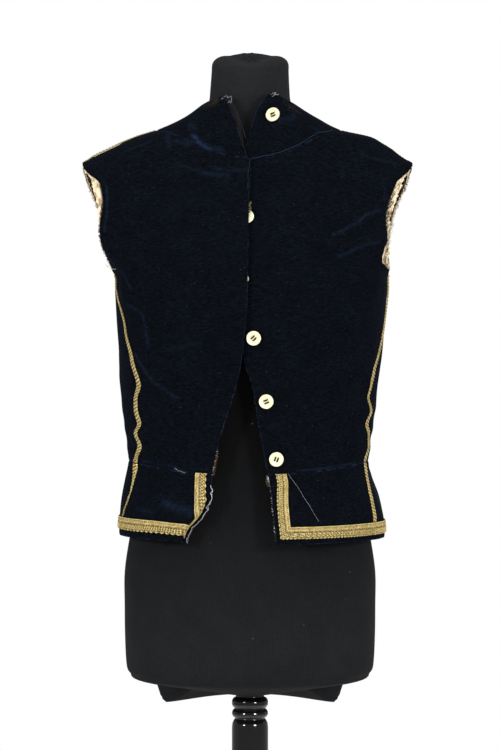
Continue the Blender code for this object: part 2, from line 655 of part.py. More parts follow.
def basque_back_angles(height, side):
    """Column angles of a back basque, one for each column above it."""
    sign = -1 if side == "right" else 1
    first = turn_along(sign * side_seam_angle(height, side), height, sign * SEAM_GAP / 2)
    middle = sign * side_back_seam_angle(height)
    last = turn_along(sign * math.pi, height, -sign * SEAM_GAP / 2)
    second = turn_along(middle, height, sign * SHOULDER_BRAID_WIDTH)
    return (even_steps(first, middle, SIDE_BACK_COLUMNS)
            + even_steps(second, last, BACK_COLUMNS - 1))


def collar_angles(height):
    """Column angles of the collar, from its right end round the back to its left."""
    seam = NECK_SEAM - SEAM_GAP / 2
    right = front_angles(seam, "right") + back_angles(seam, "right")[1:-1]
    left = front_angles(seam, "left") + back_angles(seam, "left")[1:-1]
    whole = 2 * math.pi
    base = right + [-math.pi] + [angle - whole for angle in reversed(left)]
    right_shift = right_edge_angle(height) - right_edge_angle(seam)
    left_shift = left_edge_angle(height) - left_edge_angle(seam)
    angles = []
    for angle in base:
        right_share = smooth_step(-0.5 * math.pi, 0.0, angle)
        left_share = smooth_step(0.5 * math.pi - whole, -whole, angle)
        angles.append(angle + right_shift * right_share + left_shift * left_share)
    return angles


def collar_heights(start):
    """Ring heights of the collar's rows, the first of them at start."""
    rise = COLLAR_TOP - NECK_SEAM
    return [start] + [NECK_SEAM + rise * share for share in COLLAR_ROW_SHARES]


def front_lining_angles(height, side):
    """Column angles of a front armhole lining, from its frayed edge inwards."""
    sign = -1 if side == "right" else 1
    columns = front_angles(height, side)[:-LINING_COLUMNS - 1:-1]
    return [turn_along(columns[0], height, sign * LINING_FRINGE)] + columns


def back_lining_angles(height, side):
    """Column angles of a back armhole lining, from its frayed edge inwards."""
    sign = -1 if side == "right" else 1
    panel_angles = side_back_angles if height <= SIDE_BACK_END else back_angles
    columns = panel_angles(height, side)[:LINING_COLUMNS]
    return [turn_along(columns[0], height, -sign * LINING_FRINGE)] + columns


def finish_material(finish):
    """Principled material of a finish, made once."""
    material = bpy.data.materials.get(finish.name)
    if material is None:
        material = bpy.data.materials.new(finish.name)
        material.use_nodes = True
        shader = material.node_tree.nodes["Principled BSDF"]
        shader.inputs["Base Color"].default_value = (*finish.colour, 1.0)
        shader.inputs["Roughness"].default_value = finish.roughness
        shader.inputs["Metallic"].default_value = finish.metallic
    return material


def face_outwards(mesh_data):
    """Turn every face of a closed bmesh outwards."""
    bmesh.ops.recalc_face_normals(mesh_data, faces=mesh_data.faces[:])
    if mesh_data.calc_volume(signed=True) < 0:
        bmesh.ops.reverse_faces(mesh_data, faces=mesh_data.faces[:])


def add_object(name, mesh_data, finish, collection):
    """Place a finished bmesh in the scene as one smooth shaded object."""
    face_outwards(mesh_data)
    mesh = bpy.data.meshes.new(name)
    mesh_data.to_mesh(mesh)
    mesh_data.free()
    mesh.materials.append(finish_material(finish))
    mesh.shade_smooth()
    mesh.set_sharp_from_angle(angle=SHARP_EDGE_ANGLE)
    piece = bpy.data.objects.new(name, mesh)
    collection.objects.link(piece)
    return piece


def cloth_wall(name, heights, angles_at, surface, outer, inner, finish, collection, keep=None):
    """A closed wall of cloth between two offsets from a surface.

    The wall starts as a flat grid, extruded once. Each corner then moves to
    its column's angle and its row's height, out along the face's direction.
    The keep test picks the cells that the piece covers.
    """
    rows = len(heights) - 1
    table = [angles_at(height) for height in heights]
    columns = len(table[0]) - 1
    mesh_data = bmesh.new()
    bmesh.ops.create_grid(mesh_data, x_segments=columns, y_segments=rows, size=0.5)
    if keep is not None:
        def cell(face):
            centre = face.calc_center_median()
            return int((centre.x + 0.5) * columns), int((centre.y + 0.5) * rows)
        unused = [face for face in mesh_data.faces if not keep(*cell(face))]
        bmesh.ops.delete(mesh_data, geom=unused, context="FACES")
    inner_geometry = bmesh.ops.extrude_face_region(mesh_data, geom=mesh_data.faces[:])["geom"]
    inner_corners = {item for item in inner_geometry if isinstance(item, bmesh.types.BMVert)}
    for corner in mesh_data.verts:
        column = round((corner.co.x + 0.5) * columns)
        row = round((corner.co.y + 0.5) * rows)
        angle, height = table[row][column], heights[row]
        offset = inner if corner in inner_corners else outer
        outward = face_direction(surface, angle, height)
        corner.co = surface(angle, height) + outward * offset
    return add_object(name, mesh_data, finish, collection)


def ring_body(name, rings, segments, finish, collection, place=ring_point):
    """A closed smooth body through a list of rings, from its underside up."""
    mesh_data = bmesh.new()
    bmesh.ops.create_cone(mesh_data, cap_ends=True, cap_tris=False, segments=segments,
                          radius1=1.0, radius2=1.0, depth=1.0)
    upright = [edge for edge in mesh_data.edges
               if abs(edge.verts[0].co.z - edge.verts[1].co.z) > 0.5]
    bmesh.ops.subdivide_edges(mesh_data, edges=upright, cuts=len(rings) - 2, use_grid_fill=True)
    for corner in mesh_data.verts:
        index = round((corner.co.z + 0.5) * (len(rings) - 1))
        angle = math.atan2(corner.co.x, -corner.co.y)
        corner.co = place(rings[index], angle)
    return add_object(name, mesh_data, finish, collection)


def turned_body(name, profile, segments, finish, collection):
    """A solid of revolution from a profile that runs top to bottom."""
    rings = [Ring(point.height, point.height, point.height, point.radius, point.radius,
                  point.radius, point.radius, 2.0) for point in reversed(profile)]
    return ring_body(name, rings, segments, finish, collection)


def front_places(across, up):
    """Angle and height of the left front's place at a real height."""
    low, high = WAIST, COLLAR_TOP
    for _ in range(HALVING_STEPS):
        height = (low + high) / 2
        angle = angle_across(across, height)
        if ring_point(jacket_ring(height), angle).z < up:
            low = height
        else:
            high = height
    return angle_across(across, height), height


def seat_rise(cloth, centre, outward):
    """How far a cloth piece rises above a plane anywhere under a button."""
    mesh_data = bmesh.new()
    mesh_data.from_mesh(cloth.data)
    tree = BVHTree.FromBMesh(mesh_data)
    mesh_data.free()
    across = outward.orthogonal().normalized()
    upward = outward.cross(across)
    rises = []
    for ring_share in (0.0, 0.5, 1.0):
        for direction in even_steps(0.0, 2 * math.pi, BUTTON_SEAT_SAMPLES):
            reach = BUTTON_RADIUS * ring_share
            rim = (across * math.cos(direction) + upward * math.sin(direction)) * reach
            start = centre + rim + outward * BUTTON_RADIUS
            hit = tree.ray_cast(start, -outward)[0]
            if hit is not None:
                rises.append((hit - centre).dot(outward))
    return max(rises)


def button_body(place, collection):
    """A dished four hole button that faces out from the cloth under it."""
    mesh_data = bmesh.new()
    bmesh.ops.create_cone(mesh_data, cap_ends=True, cap_tris=False,
                          segments=BUTTON_SEGMENTS, radius1=BUTTON_RADIUS * BUTTON_BACK_SHARE,
                          radius2=BUTTON_RADIUS, depth=BUTTON_THICKNESS)
    mesh_data.faces.ensure_lookup_table()
    front = max(mesh_data.faces, key=lambda face: face.calc_center_median().z)
    bmesh.ops.inset_individual(mesh_data, faces=[front], thickness=BUTTON_RIM_WIDTH)
    bmesh.ops.inset_individual(mesh_data, faces=[front], thickness=BUTTON_RIM_WIDTH / 2,
                               depth=-BUTTON_DISH_DEPTH)
    angle, height = front_places(place.across, place.up)
    on_collar = height > NECK_SEAM
    cloth = bpy.data.objects["collar" if on_collar else "left_front"]
    surface = lapped_surface if on_collar else draped_surface
    angle -= 2 * math.pi if on_collar else 0.0
    outward = face_direction(surface, angle, height)
    centre = surface(angle, height)
    lift = seat_rise(cloth, centre, outward) + BUTTON_STANDOFF + BUTTON_THICKNESS / 2
    seat = centre + outward * lift
    upward = Vector((0, 0, 1))
    across = upward.cross(outward).normalized()
    turn = Matrix((across, outward.cross(across), outward)).transposed().to_4x4()
    button = add_object(place.name, mesh_data, IVORY, collection)
    button.matrix_world = Matrix.Translation(seat) @ turn
    return button


def button_hole_cutter(button, cutters):
    """Four thread holes through a button, as one cutter."""
    mesh_data = bmesh.new()
    for across in (-0.5, 0.5):
        for up in (-0.5, 0.5):
            place = Matrix.Translation((across * BUTTON_HOLE_SPACING, up * BUTTON_HOLE_SPACING, 0))
            bmesh.ops.create_cone(mesh_data, cap_ends=True, cap_tris=False,
                                  segments=BUTTON_HOLE_SEGMENTS, radius1=BUTTON_HOLE_RADIUS,
                                  radius2=BUTTON_HOLE_RADIUS, depth=BUTTON_THICKNESS * 3,
                                  matrix=place)
    cutter = add_object(button.name + "_holes", mesh_data, IVORY, cutters)
    cutter.matrix_world = button.matrix_world
    cutter.hide_render = True
    cutter.display_type = "WIRE"
    cut = button.modifiers.new("thread_holes", "BOOLEAN")
    cut.operation = "DIFFERENCE"
    cut.object = cutter


def make_side(side, collection):
    """All cloth and braid of one side of the jacket."""
    surface = lapped_surface if side == "right" else draped_surface
    bodice, basque = bodice_heights(), basque_heights(side)
    braid_inner, braid_outer = LAYER_GAP, LAYER_GAP + BRAID_THICKNESS
    armpit_row = BODICE_ROWS_TO_ARMPIT
    tip_row = BODICE_ROWS_TO_ARMPIT + BODICE_ROWS_TO_SIDE_BACK_END + BODICE_ROWS_TO_TIP
    last_column = FRONT_TRIM_COLUMNS + CURL_COLUMNS + FRONT_PLAIN_COLUMNS

    def front(height):
        return front_angles(height, side)

    def side_back(height):
        return side_back_angles(height, side)

    def back(height):
        return back_angles(height, side)

    def basque_back(height):
        return basque_back_angles(height, side)

    def velvet(name, heights, angles_at):
        cloth_wall(side + name, heights, angles_at, surface, 0.0, -VELVET_THICKNESS,
                   VELVET, collection)

    def braid(name, heights, angles_at, keep):
        cloth_wall(side + name, heights, angles_at, surface, braid_outer, braid_inner,
                   GOLD_BRAID, collection, keep)

    velvet("_front", bodice, front)
    side_back_rows = armpit_row + BODICE_ROWS_TO_SIDE_BACK_END
    side_back_top = [SIDE_BACK_END - SEAM_GAP]
    velvet("_side_back", bodice[:side_back_rows] + side_back_top, side_back)
    velvet("_back", bodice, back)
    velvet("_basque_front", basque, front)
    velvet("_basque_back", basque, basque_back)

    braid("_side_braid", bodice, front,
          lambda column, row: column == last_column and 0 < row < armpit_row)
    side_braid_heights = basque[:]
    side_braid_heights[HEM_TRIM_ROWS] += BRAID_END_GAP
    braid("_basque_side_braid", side_braid_heights, front,
          lambda column, row: column == last_column and row >= HEM_TRIM_ROWS)
    braid("_front_hem_braid", basque, front,
          lambda column, row: (0 < row < HEM_TRIM_ROWS and 0 < column)
          or (0 < column < FRONT_TRIM_COLUMNS and row >= HEM_TRIM_ROWS))
    braid("_back_hem_braid", basque, basque_back, lambda column, row: 0 < row < HEM_TRIM_ROWS)
    braid("_shoulder_braid", bodice, back,
          lambda column, row: column == 0 and row >= tip_row)

    lining_outer = -(VELVET_THICKNESS + ARMHOLE_LINING_GAP)
    for edge, angles_at in (("front", front_lining_angles), ("back", back_lining_angles)):
        cloth_wall(side + "_armhole_lining_" + edge, bodice[armpit_row + 1:tip_row],
                   lambda height, angles_at=angles_at: angles_at(height, side), surface,
                   lining_outer, lining_outer - LINING_THICKNESS, COTTON_LINING, collection)


def make_collar(collection):
    """The funnel collar and the brown lining that shows in its opening."""
    cloth_wall("collar", collar_heights(NECK_SEAM + SEAM_GAP / 2), collar_angles,
               lapped_surface, 0.0, -COLLAR_THICKNESS, VELVET, collection)

    def lining(height):
        angles = collar_angles(height)
        peek = interpolate(COLLAR_LINING_PEEKS, height, "width")
        return [turn_along(angles[0], height, peek)] + angles

    outer = -(COLLAR_THICKNESS + COLLAR_LINING_GAP)
    cloth_wall("collar_lining", collar_heights(COLLAR_LINING_START), lining,
               lapped_surface, outer, outer - LINING_THICKNESS, BROWN_LINING, collection)


def form_rings():
    """Rings of the dress form from its underside to the top of its neck."""
    shoulders = []
    for ring in JACKET_RINGS:
        if SHOULDER_REST[0] <= ring.height <= SHOULDER_REST[1]:
            shoulders.append(Ring(
                ring.height - CLOTH_REST_DROP, ring.front_height - CLOTH_REST_DROP,
                ring.back_height - CLOTH_REST_DROP, ring.right - FORM_SHOULDER_INSET,
                ring.left - FORM_SHOULDER_INSET, ring.front - FORM_FRONT_CLEARANCE,
                ring.back - FORM_BACK_CLEARANCE, ring.fullness, ring.dip))
    return list(FORM_UNDERSIDE_RINGS + FORM_BODY_RINGS) + shoulders + list(FORM_NECK_RINGS)


def form_point(ring, angle):
    """Point of the form's ring, with its seat dropped behind."""
    drop = SEAT_DROP * smooth_step(*SEAT_CORNERS, abs(angle))
    drop *= 1 - SEAT_MIDDLE_RISE * smooth_step(SEAT_CORNERS[1], math.pi, abs(angle))
    if ring in FORM_UNDERSIDE_RINGS:
        drop *= UNDERSIDE_DROPS[FORM_UNDERSIDE_RINGS.index(ring)]
    else:
        drop *= 1 - smooth_step(*SEAT_HEIGHTS, ring.height)
    return ring_point(ring, angle) - Vector((0, 0, drop))


def main():
    for item in list(bpy.data.objects):
        bpy.data.objects.remove(item, do_unlink=True)
    jacket = bpy.data.collections.new("costume_jacket_on_form")
    cutters = bpy.data.collections.new("cutters")
    for collection in (jacket, cutters):
        bpy.context.scene.collection.children.link(collection)

    for side in ("right", "left"):
        make_side(side, jacket)
    make_collar(jacket)
    for place in BUTTON_PLACES:
        button_hole_cutter(button_body(place, jacket), cutters)
    ring_body("form_torso", form_rings(), FORM_SEGMENTS, BLACK_JERSEY, jacket, form_point)
    turned_body("stand_post", STAND_PROFILE, STAND_SEGMENTS, BLACK_LACQUER, jacket)
    turned_body("stand_base", BASE_PROFILE, BASE_SEGMENTS, BLACK_LACQUER, jacket)


if __name__ == "__main__":
    main()
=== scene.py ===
"""Dressed model of a sleeveless velvet costume jacket on a limbless dress form.

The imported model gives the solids. This script replaces each of them with a
finer piece in the same place: rolled velvet panels, woven gold braid in
relief, frayed armhole linings, sewn buttons, a jersey covered form and its
turned, lacquered stand.

Metres, +Z up. The wearer faces -Y, so the wearer's right is at -X. A place on
the jacket is an angle round the body and a ring height. The angle is 0 at the
middle of the front and grows towards the wearer's left.
"""
from __future__ import annotations

import logging
import math
from dataclasses import dataclass, field
from enum import Enum
from typing import Any, Callable, NamedTuple, Sequence

import bmesh
import bpy
import numpy as np
from mathutils import Matrix, Vector

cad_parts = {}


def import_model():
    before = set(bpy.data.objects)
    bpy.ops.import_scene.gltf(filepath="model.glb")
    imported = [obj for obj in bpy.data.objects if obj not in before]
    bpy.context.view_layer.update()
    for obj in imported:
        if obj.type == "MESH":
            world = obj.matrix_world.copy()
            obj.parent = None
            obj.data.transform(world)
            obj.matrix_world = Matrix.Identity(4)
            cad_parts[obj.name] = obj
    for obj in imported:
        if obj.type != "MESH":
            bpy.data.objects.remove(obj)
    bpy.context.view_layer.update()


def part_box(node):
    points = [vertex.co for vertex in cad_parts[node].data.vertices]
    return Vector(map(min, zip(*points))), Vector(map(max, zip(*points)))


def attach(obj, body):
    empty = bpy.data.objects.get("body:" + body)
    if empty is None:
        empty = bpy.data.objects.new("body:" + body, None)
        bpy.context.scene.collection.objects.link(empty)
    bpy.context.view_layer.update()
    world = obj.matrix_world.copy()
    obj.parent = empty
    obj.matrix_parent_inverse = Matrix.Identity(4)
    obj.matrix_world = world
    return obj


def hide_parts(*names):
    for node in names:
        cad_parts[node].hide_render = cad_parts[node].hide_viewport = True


LOG = logging.getLogger("costume_jacket")
Array = np.ndarray
Surface = Callable[[Array, Array], Array]
Colour = tuple[float, float, float]


class Side(Enum):
    """A side of the wearer's body."""

    RIGHT = "right"
    LEFT = "left"

    @property
    def sign(self) -> int:
        """Sign of the side's angles and of its places along X."""
        return -1 if self is Side.RIGHT else 1


class ArmholeEdge(Enum):
    """One of the two raw edges of an armhole."""

    FRONT = "front"
    BACK = "back"


class Hold(Enum):
    """How a cloth piece is held."""

    DRAPED = "draped"
    STRETCHED = "stretched"


class Yarn(Enum):
    """A thread, by name, colour and record slot."""

    NAVY = ("navy_thread", (0.004, 0.0045, 0.006), "velvet")
    # Painted pile highlight, laid as thin pale blue threads along seams and edges.
    BLUE = ("blue_thread", (0.024, 0.040, 0.082), "velvet")
    PALE = ("pale_thread", (0.58, 0.58, 0.62), "cotton_lining")
    STRAW = ("straw_thread", (0.74, 0.62, 0.42), "cotton_lining")
    ROSE = ("rose_thread", (0.48, 0.33, 0.27), "cotton_lining")
    BROWN = ("brown_thread", (0.10, 0.070, 0.030), "brown_lining")
    TARNISHED = ("tarnished_thread", (0.26, 0.22, 0.10), "gold_braid")

    @property
    def slot(self) -> str:
        """The record's slot of the thread."""
        return self.value[2]


class CutEdge(Enum):
    """An edge along which threads hang loose."""

    FRONT = "front"
    ARMHOLE_FRONT = "armhole_front"
    ARMHOLE_BACK = "armhole_back"


RIGHT, LEFT = Side.RIGHT, Side.LEFT
FRONT_EDGE, HOLE_FRONT, HOLE_BACK = CutEdge.FRONT, CutEdge.ARMHOLE_FRONT, CutEdge.ARMHOLE_BACK


class Ring(NamedTuple):
    """A level ring of the jacket or the form."""

    height: float
    front_height: float
    back_height: float
    right: float
    left: float
    front: float
    back: float
    fullness: float
    dip: float = 2.0


class SideRow(NamedTuple):
    """A length or a place along X for each side, at a height."""

    height: float
    right: float
    left: float


class ArmholeRow(NamedTuple):
    """A length or a place along X for each armhole edge, at a ring height."""

    height: float
    right_front: float
    right_back: float
    left_front: float
    left_back: float


class SeamRow(NamedTuple):
    """Angles of the side and side back seams at a ring height."""

    height: float
    right_side: float
    left_side: float
    side_back: float


class Stroke(NamedTuple):
    """A fold, a painted sheen highlight or a worn line in the cloth, from one place to another."""

    angle_from: float
    height_from: float
    angle_to: float
    height_to: float
    width: float
    strength: float


class LevelRow(NamedTuple):
    """One value at a height."""

    height: float
    value: float


class CurlRow(NamedTuple):
    """The two bends of the curled corner, and their turn in degrees."""

    height: float
    first: float
    second: float
    turn: float


class ProfilePoint(NamedTuple):
    """A point of a turned profile."""

    radius: float
    height: float


class BraidRow(NamedTuple):
    """Angle in degrees of a narrow braid's middle, and its width."""

    height: float
    angle: float
    width: float


class LooseLine(NamedTuple):
    """A single thread along places, each an angle in degrees and a ring height."""

    side: Side
    radius: float
    lift: float
    wander: float
    places: tuple[tuple[float, float], ...]


class FrayRun(NamedTuple):
    """A run of short loose threads along a cut edge."""

    side: Side
    edge: CutEdge
    low: float
    high: float
    count: int
    length: float
    depth: float


class Lamp(NamedTuple):
    """A soft square light, which may be kept off glossy or off matt things."""

    name: str
    place: tuple[float, float, float]
    aim_height: float
    size: float
    power: float
    mirrored: bool = True
    diffused: bool = True


def table(kind: Callable, *rows: Sequence[Any]) -> tuple[Any, ...]:
    """Rows of a table, each made into its kind."""
    return tuple(kind(*row) for row in rows)


def smooth_step(start: Any, end: Any, value: Any) -> Array:
    """Rise from 0 at start to 1 at end, level at both."""
    share = np.clip((value - start) / (end - start), 0.0, 1.0)
    return share * share * (3.0 - 2.0 * share)


def smooth_column(rows: Sequence[Any], heights: Array, name: str) -> Array:
    """Smooth values of one column of a table whose rows climb in height.

    Args:
        rows: The table.
        heights: Where the column is read.
        name: The column's name.

    Returns:
        One value for each height.
    """
    known = np.array([row.height for row in rows])
    values = np.array([getattr(row, name) for row in rows], dtype=float)
    last = len(rows) - 1
    before = np.maximum(np.arange(last + 1) - 1, 0)
    after = np.minimum(np.arange(last + 1) + 1, last)
    slopes = (values[after] - values[before]) / (known[after] - known[before])
    clipped = np.clip(heights, known[0], known[-1])
    low = np.clip(np.searchsorted(known, clipped, side="left") - 1, 0, last - 1)
    span = known[low + 1] - known[low]
    t = (clipped - known[low]) / span
    return (values[low] * (1 + 2 * t) * (1 - t) ** 2
            + slopes[low] * span * t * (1 - t) ** 2
            + values[low + 1] * t ** 2 * (3 - 2 * t)
            + slopes[low + 1] * span * t ** 2 * (t - 1))


def dense_shares(length: float, step: float, fine: Sequence[float] = (0.0006, 0.0014, 0.0026)) -> Array:
    """Shares of a length that lie close together near both of its ends.

    Args:
        length: Length in metres.
        step: Usual distance between two places.
        fine: Distances of the extra places from each end.

    Returns:
        Shares from 0 to 1.
    """
    ends = [distance / length for distance in fine]
    count = max(2, round((length - 2 * fine[-1]) / step))
    middle = np.linspace(ends[-1], 1.0 - ends[-1], count + 1)
    return np.concatenate(([0.0], ends[:-1], middle, [1.0 - share for share in ends[-2::-1]], [1.0]))


def beside_stroke(stroke: Stroke, around: Array, heights: Array, radius: float) -> tuple[Array, Array]:
    """Find how places lie beside a stroke.

    Args:
        stroke: The stroke.
        around: Angles of the places in degrees.
        heights: Ring heights of the places.
        radius: Radius of the body, which turns angles into lengths.

    Returns:
        The nearest share along the stroke, and the squared distance from it.
    """
    arc = math.radians(radius)
    run_x, run_y = (stroke.angle_to - stroke.angle_from) * arc, stroke.height_to - stroke.height_from
    x, y = (around - stroke.angle_from) * arc, heights - stroke.height_from
    share = np.clip((x * run_x + y * run_y) / (run_x ** 2 + run_y ** 2), 0.0, 1.0)
    return share, (x - run_x * share) ** 2 + (y - run_y * share) ** 2


def on_rings(ring: dict[str, Any], angles: Array) -> Array:
    """Find points of level rings.

    Args:
        ring: Measures of a ring at each place, by the names of Ring's fields.
        angles: Angles in radians.

    Returns:
        Points, with X, Y and Z along the last axis.
    """
    sine, cosine = np.sin(angles), np.cos(angles)
    power = 2.0 / ring["fullness"]
    half_width = np.where(sine > 0, ring["left"], ring["right"])
    depth = np.where(cosine > 0, ring["front"], ring["back"])
    end = np.where(cosine > 0, ring["front_height"], ring["back_height"])
    return np.stack((
        np.copysign(half_width * np.abs(sine) ** power, sine),
        -np.copysign(depth * np.abs(cosine) ** power, cosine),
        ring["height"] + (end - ring["height"]) * np.abs(cosine) ** ring["dip"],
    ), axis=-1)


class ClothNoise:
    """Smooth seeded noise over the cloth that repeats once round the body."""

    rows = 512

    def __init__(self, seed: int, cell: float, girth: float = 0.942) -> None:
        """Draw the noise.

        Args:
            seed: Seed of the random values.
            cell: Size of its cells in metres.
            girth: Girth in metres at which it repeats.
        """
        self.cell = cell
        self.across = max(4, round(girth / cell))
        self.values = np.random.default_rng(seed).uniform(-1.0, 1.0, (self.rows, self.across))

    def at(self, around: Array, height: Array, stretch: float = 1.0) -> Array:
        """Read the noise.

        Args:
            around: Distance round the body in metres.
            height: Height in metres.
            stretch: How much longer its cells are in height.

        Returns:
            Values from -1 to 1.
        """
        x, y = around / self.cell, height / (self.cell * stretch)
        column, row = np.floor(x).astype(int), np.floor(y).astype(int)
        u, v = x - column, y - row
        u, v = u * u * (3 - 2 * u), v * v * (3 - 2 * v)
        left, right = column % self.across, (column + 1) % self.across
        low, high = row % self.rows, (row + 1) % self.rows
        return ((self.values[low, left] * (1 - u) + self.values[low, right] * u) * (1 - v)
                + (self.values[high, left] * (1 - u) + self.values[high, right] * u) * v)

    def up(self, height: Array, shift: float = 0.0) -> Array:
        """Noise that changes with the height alone."""
        return self.at(height * 0.0, height + shift)


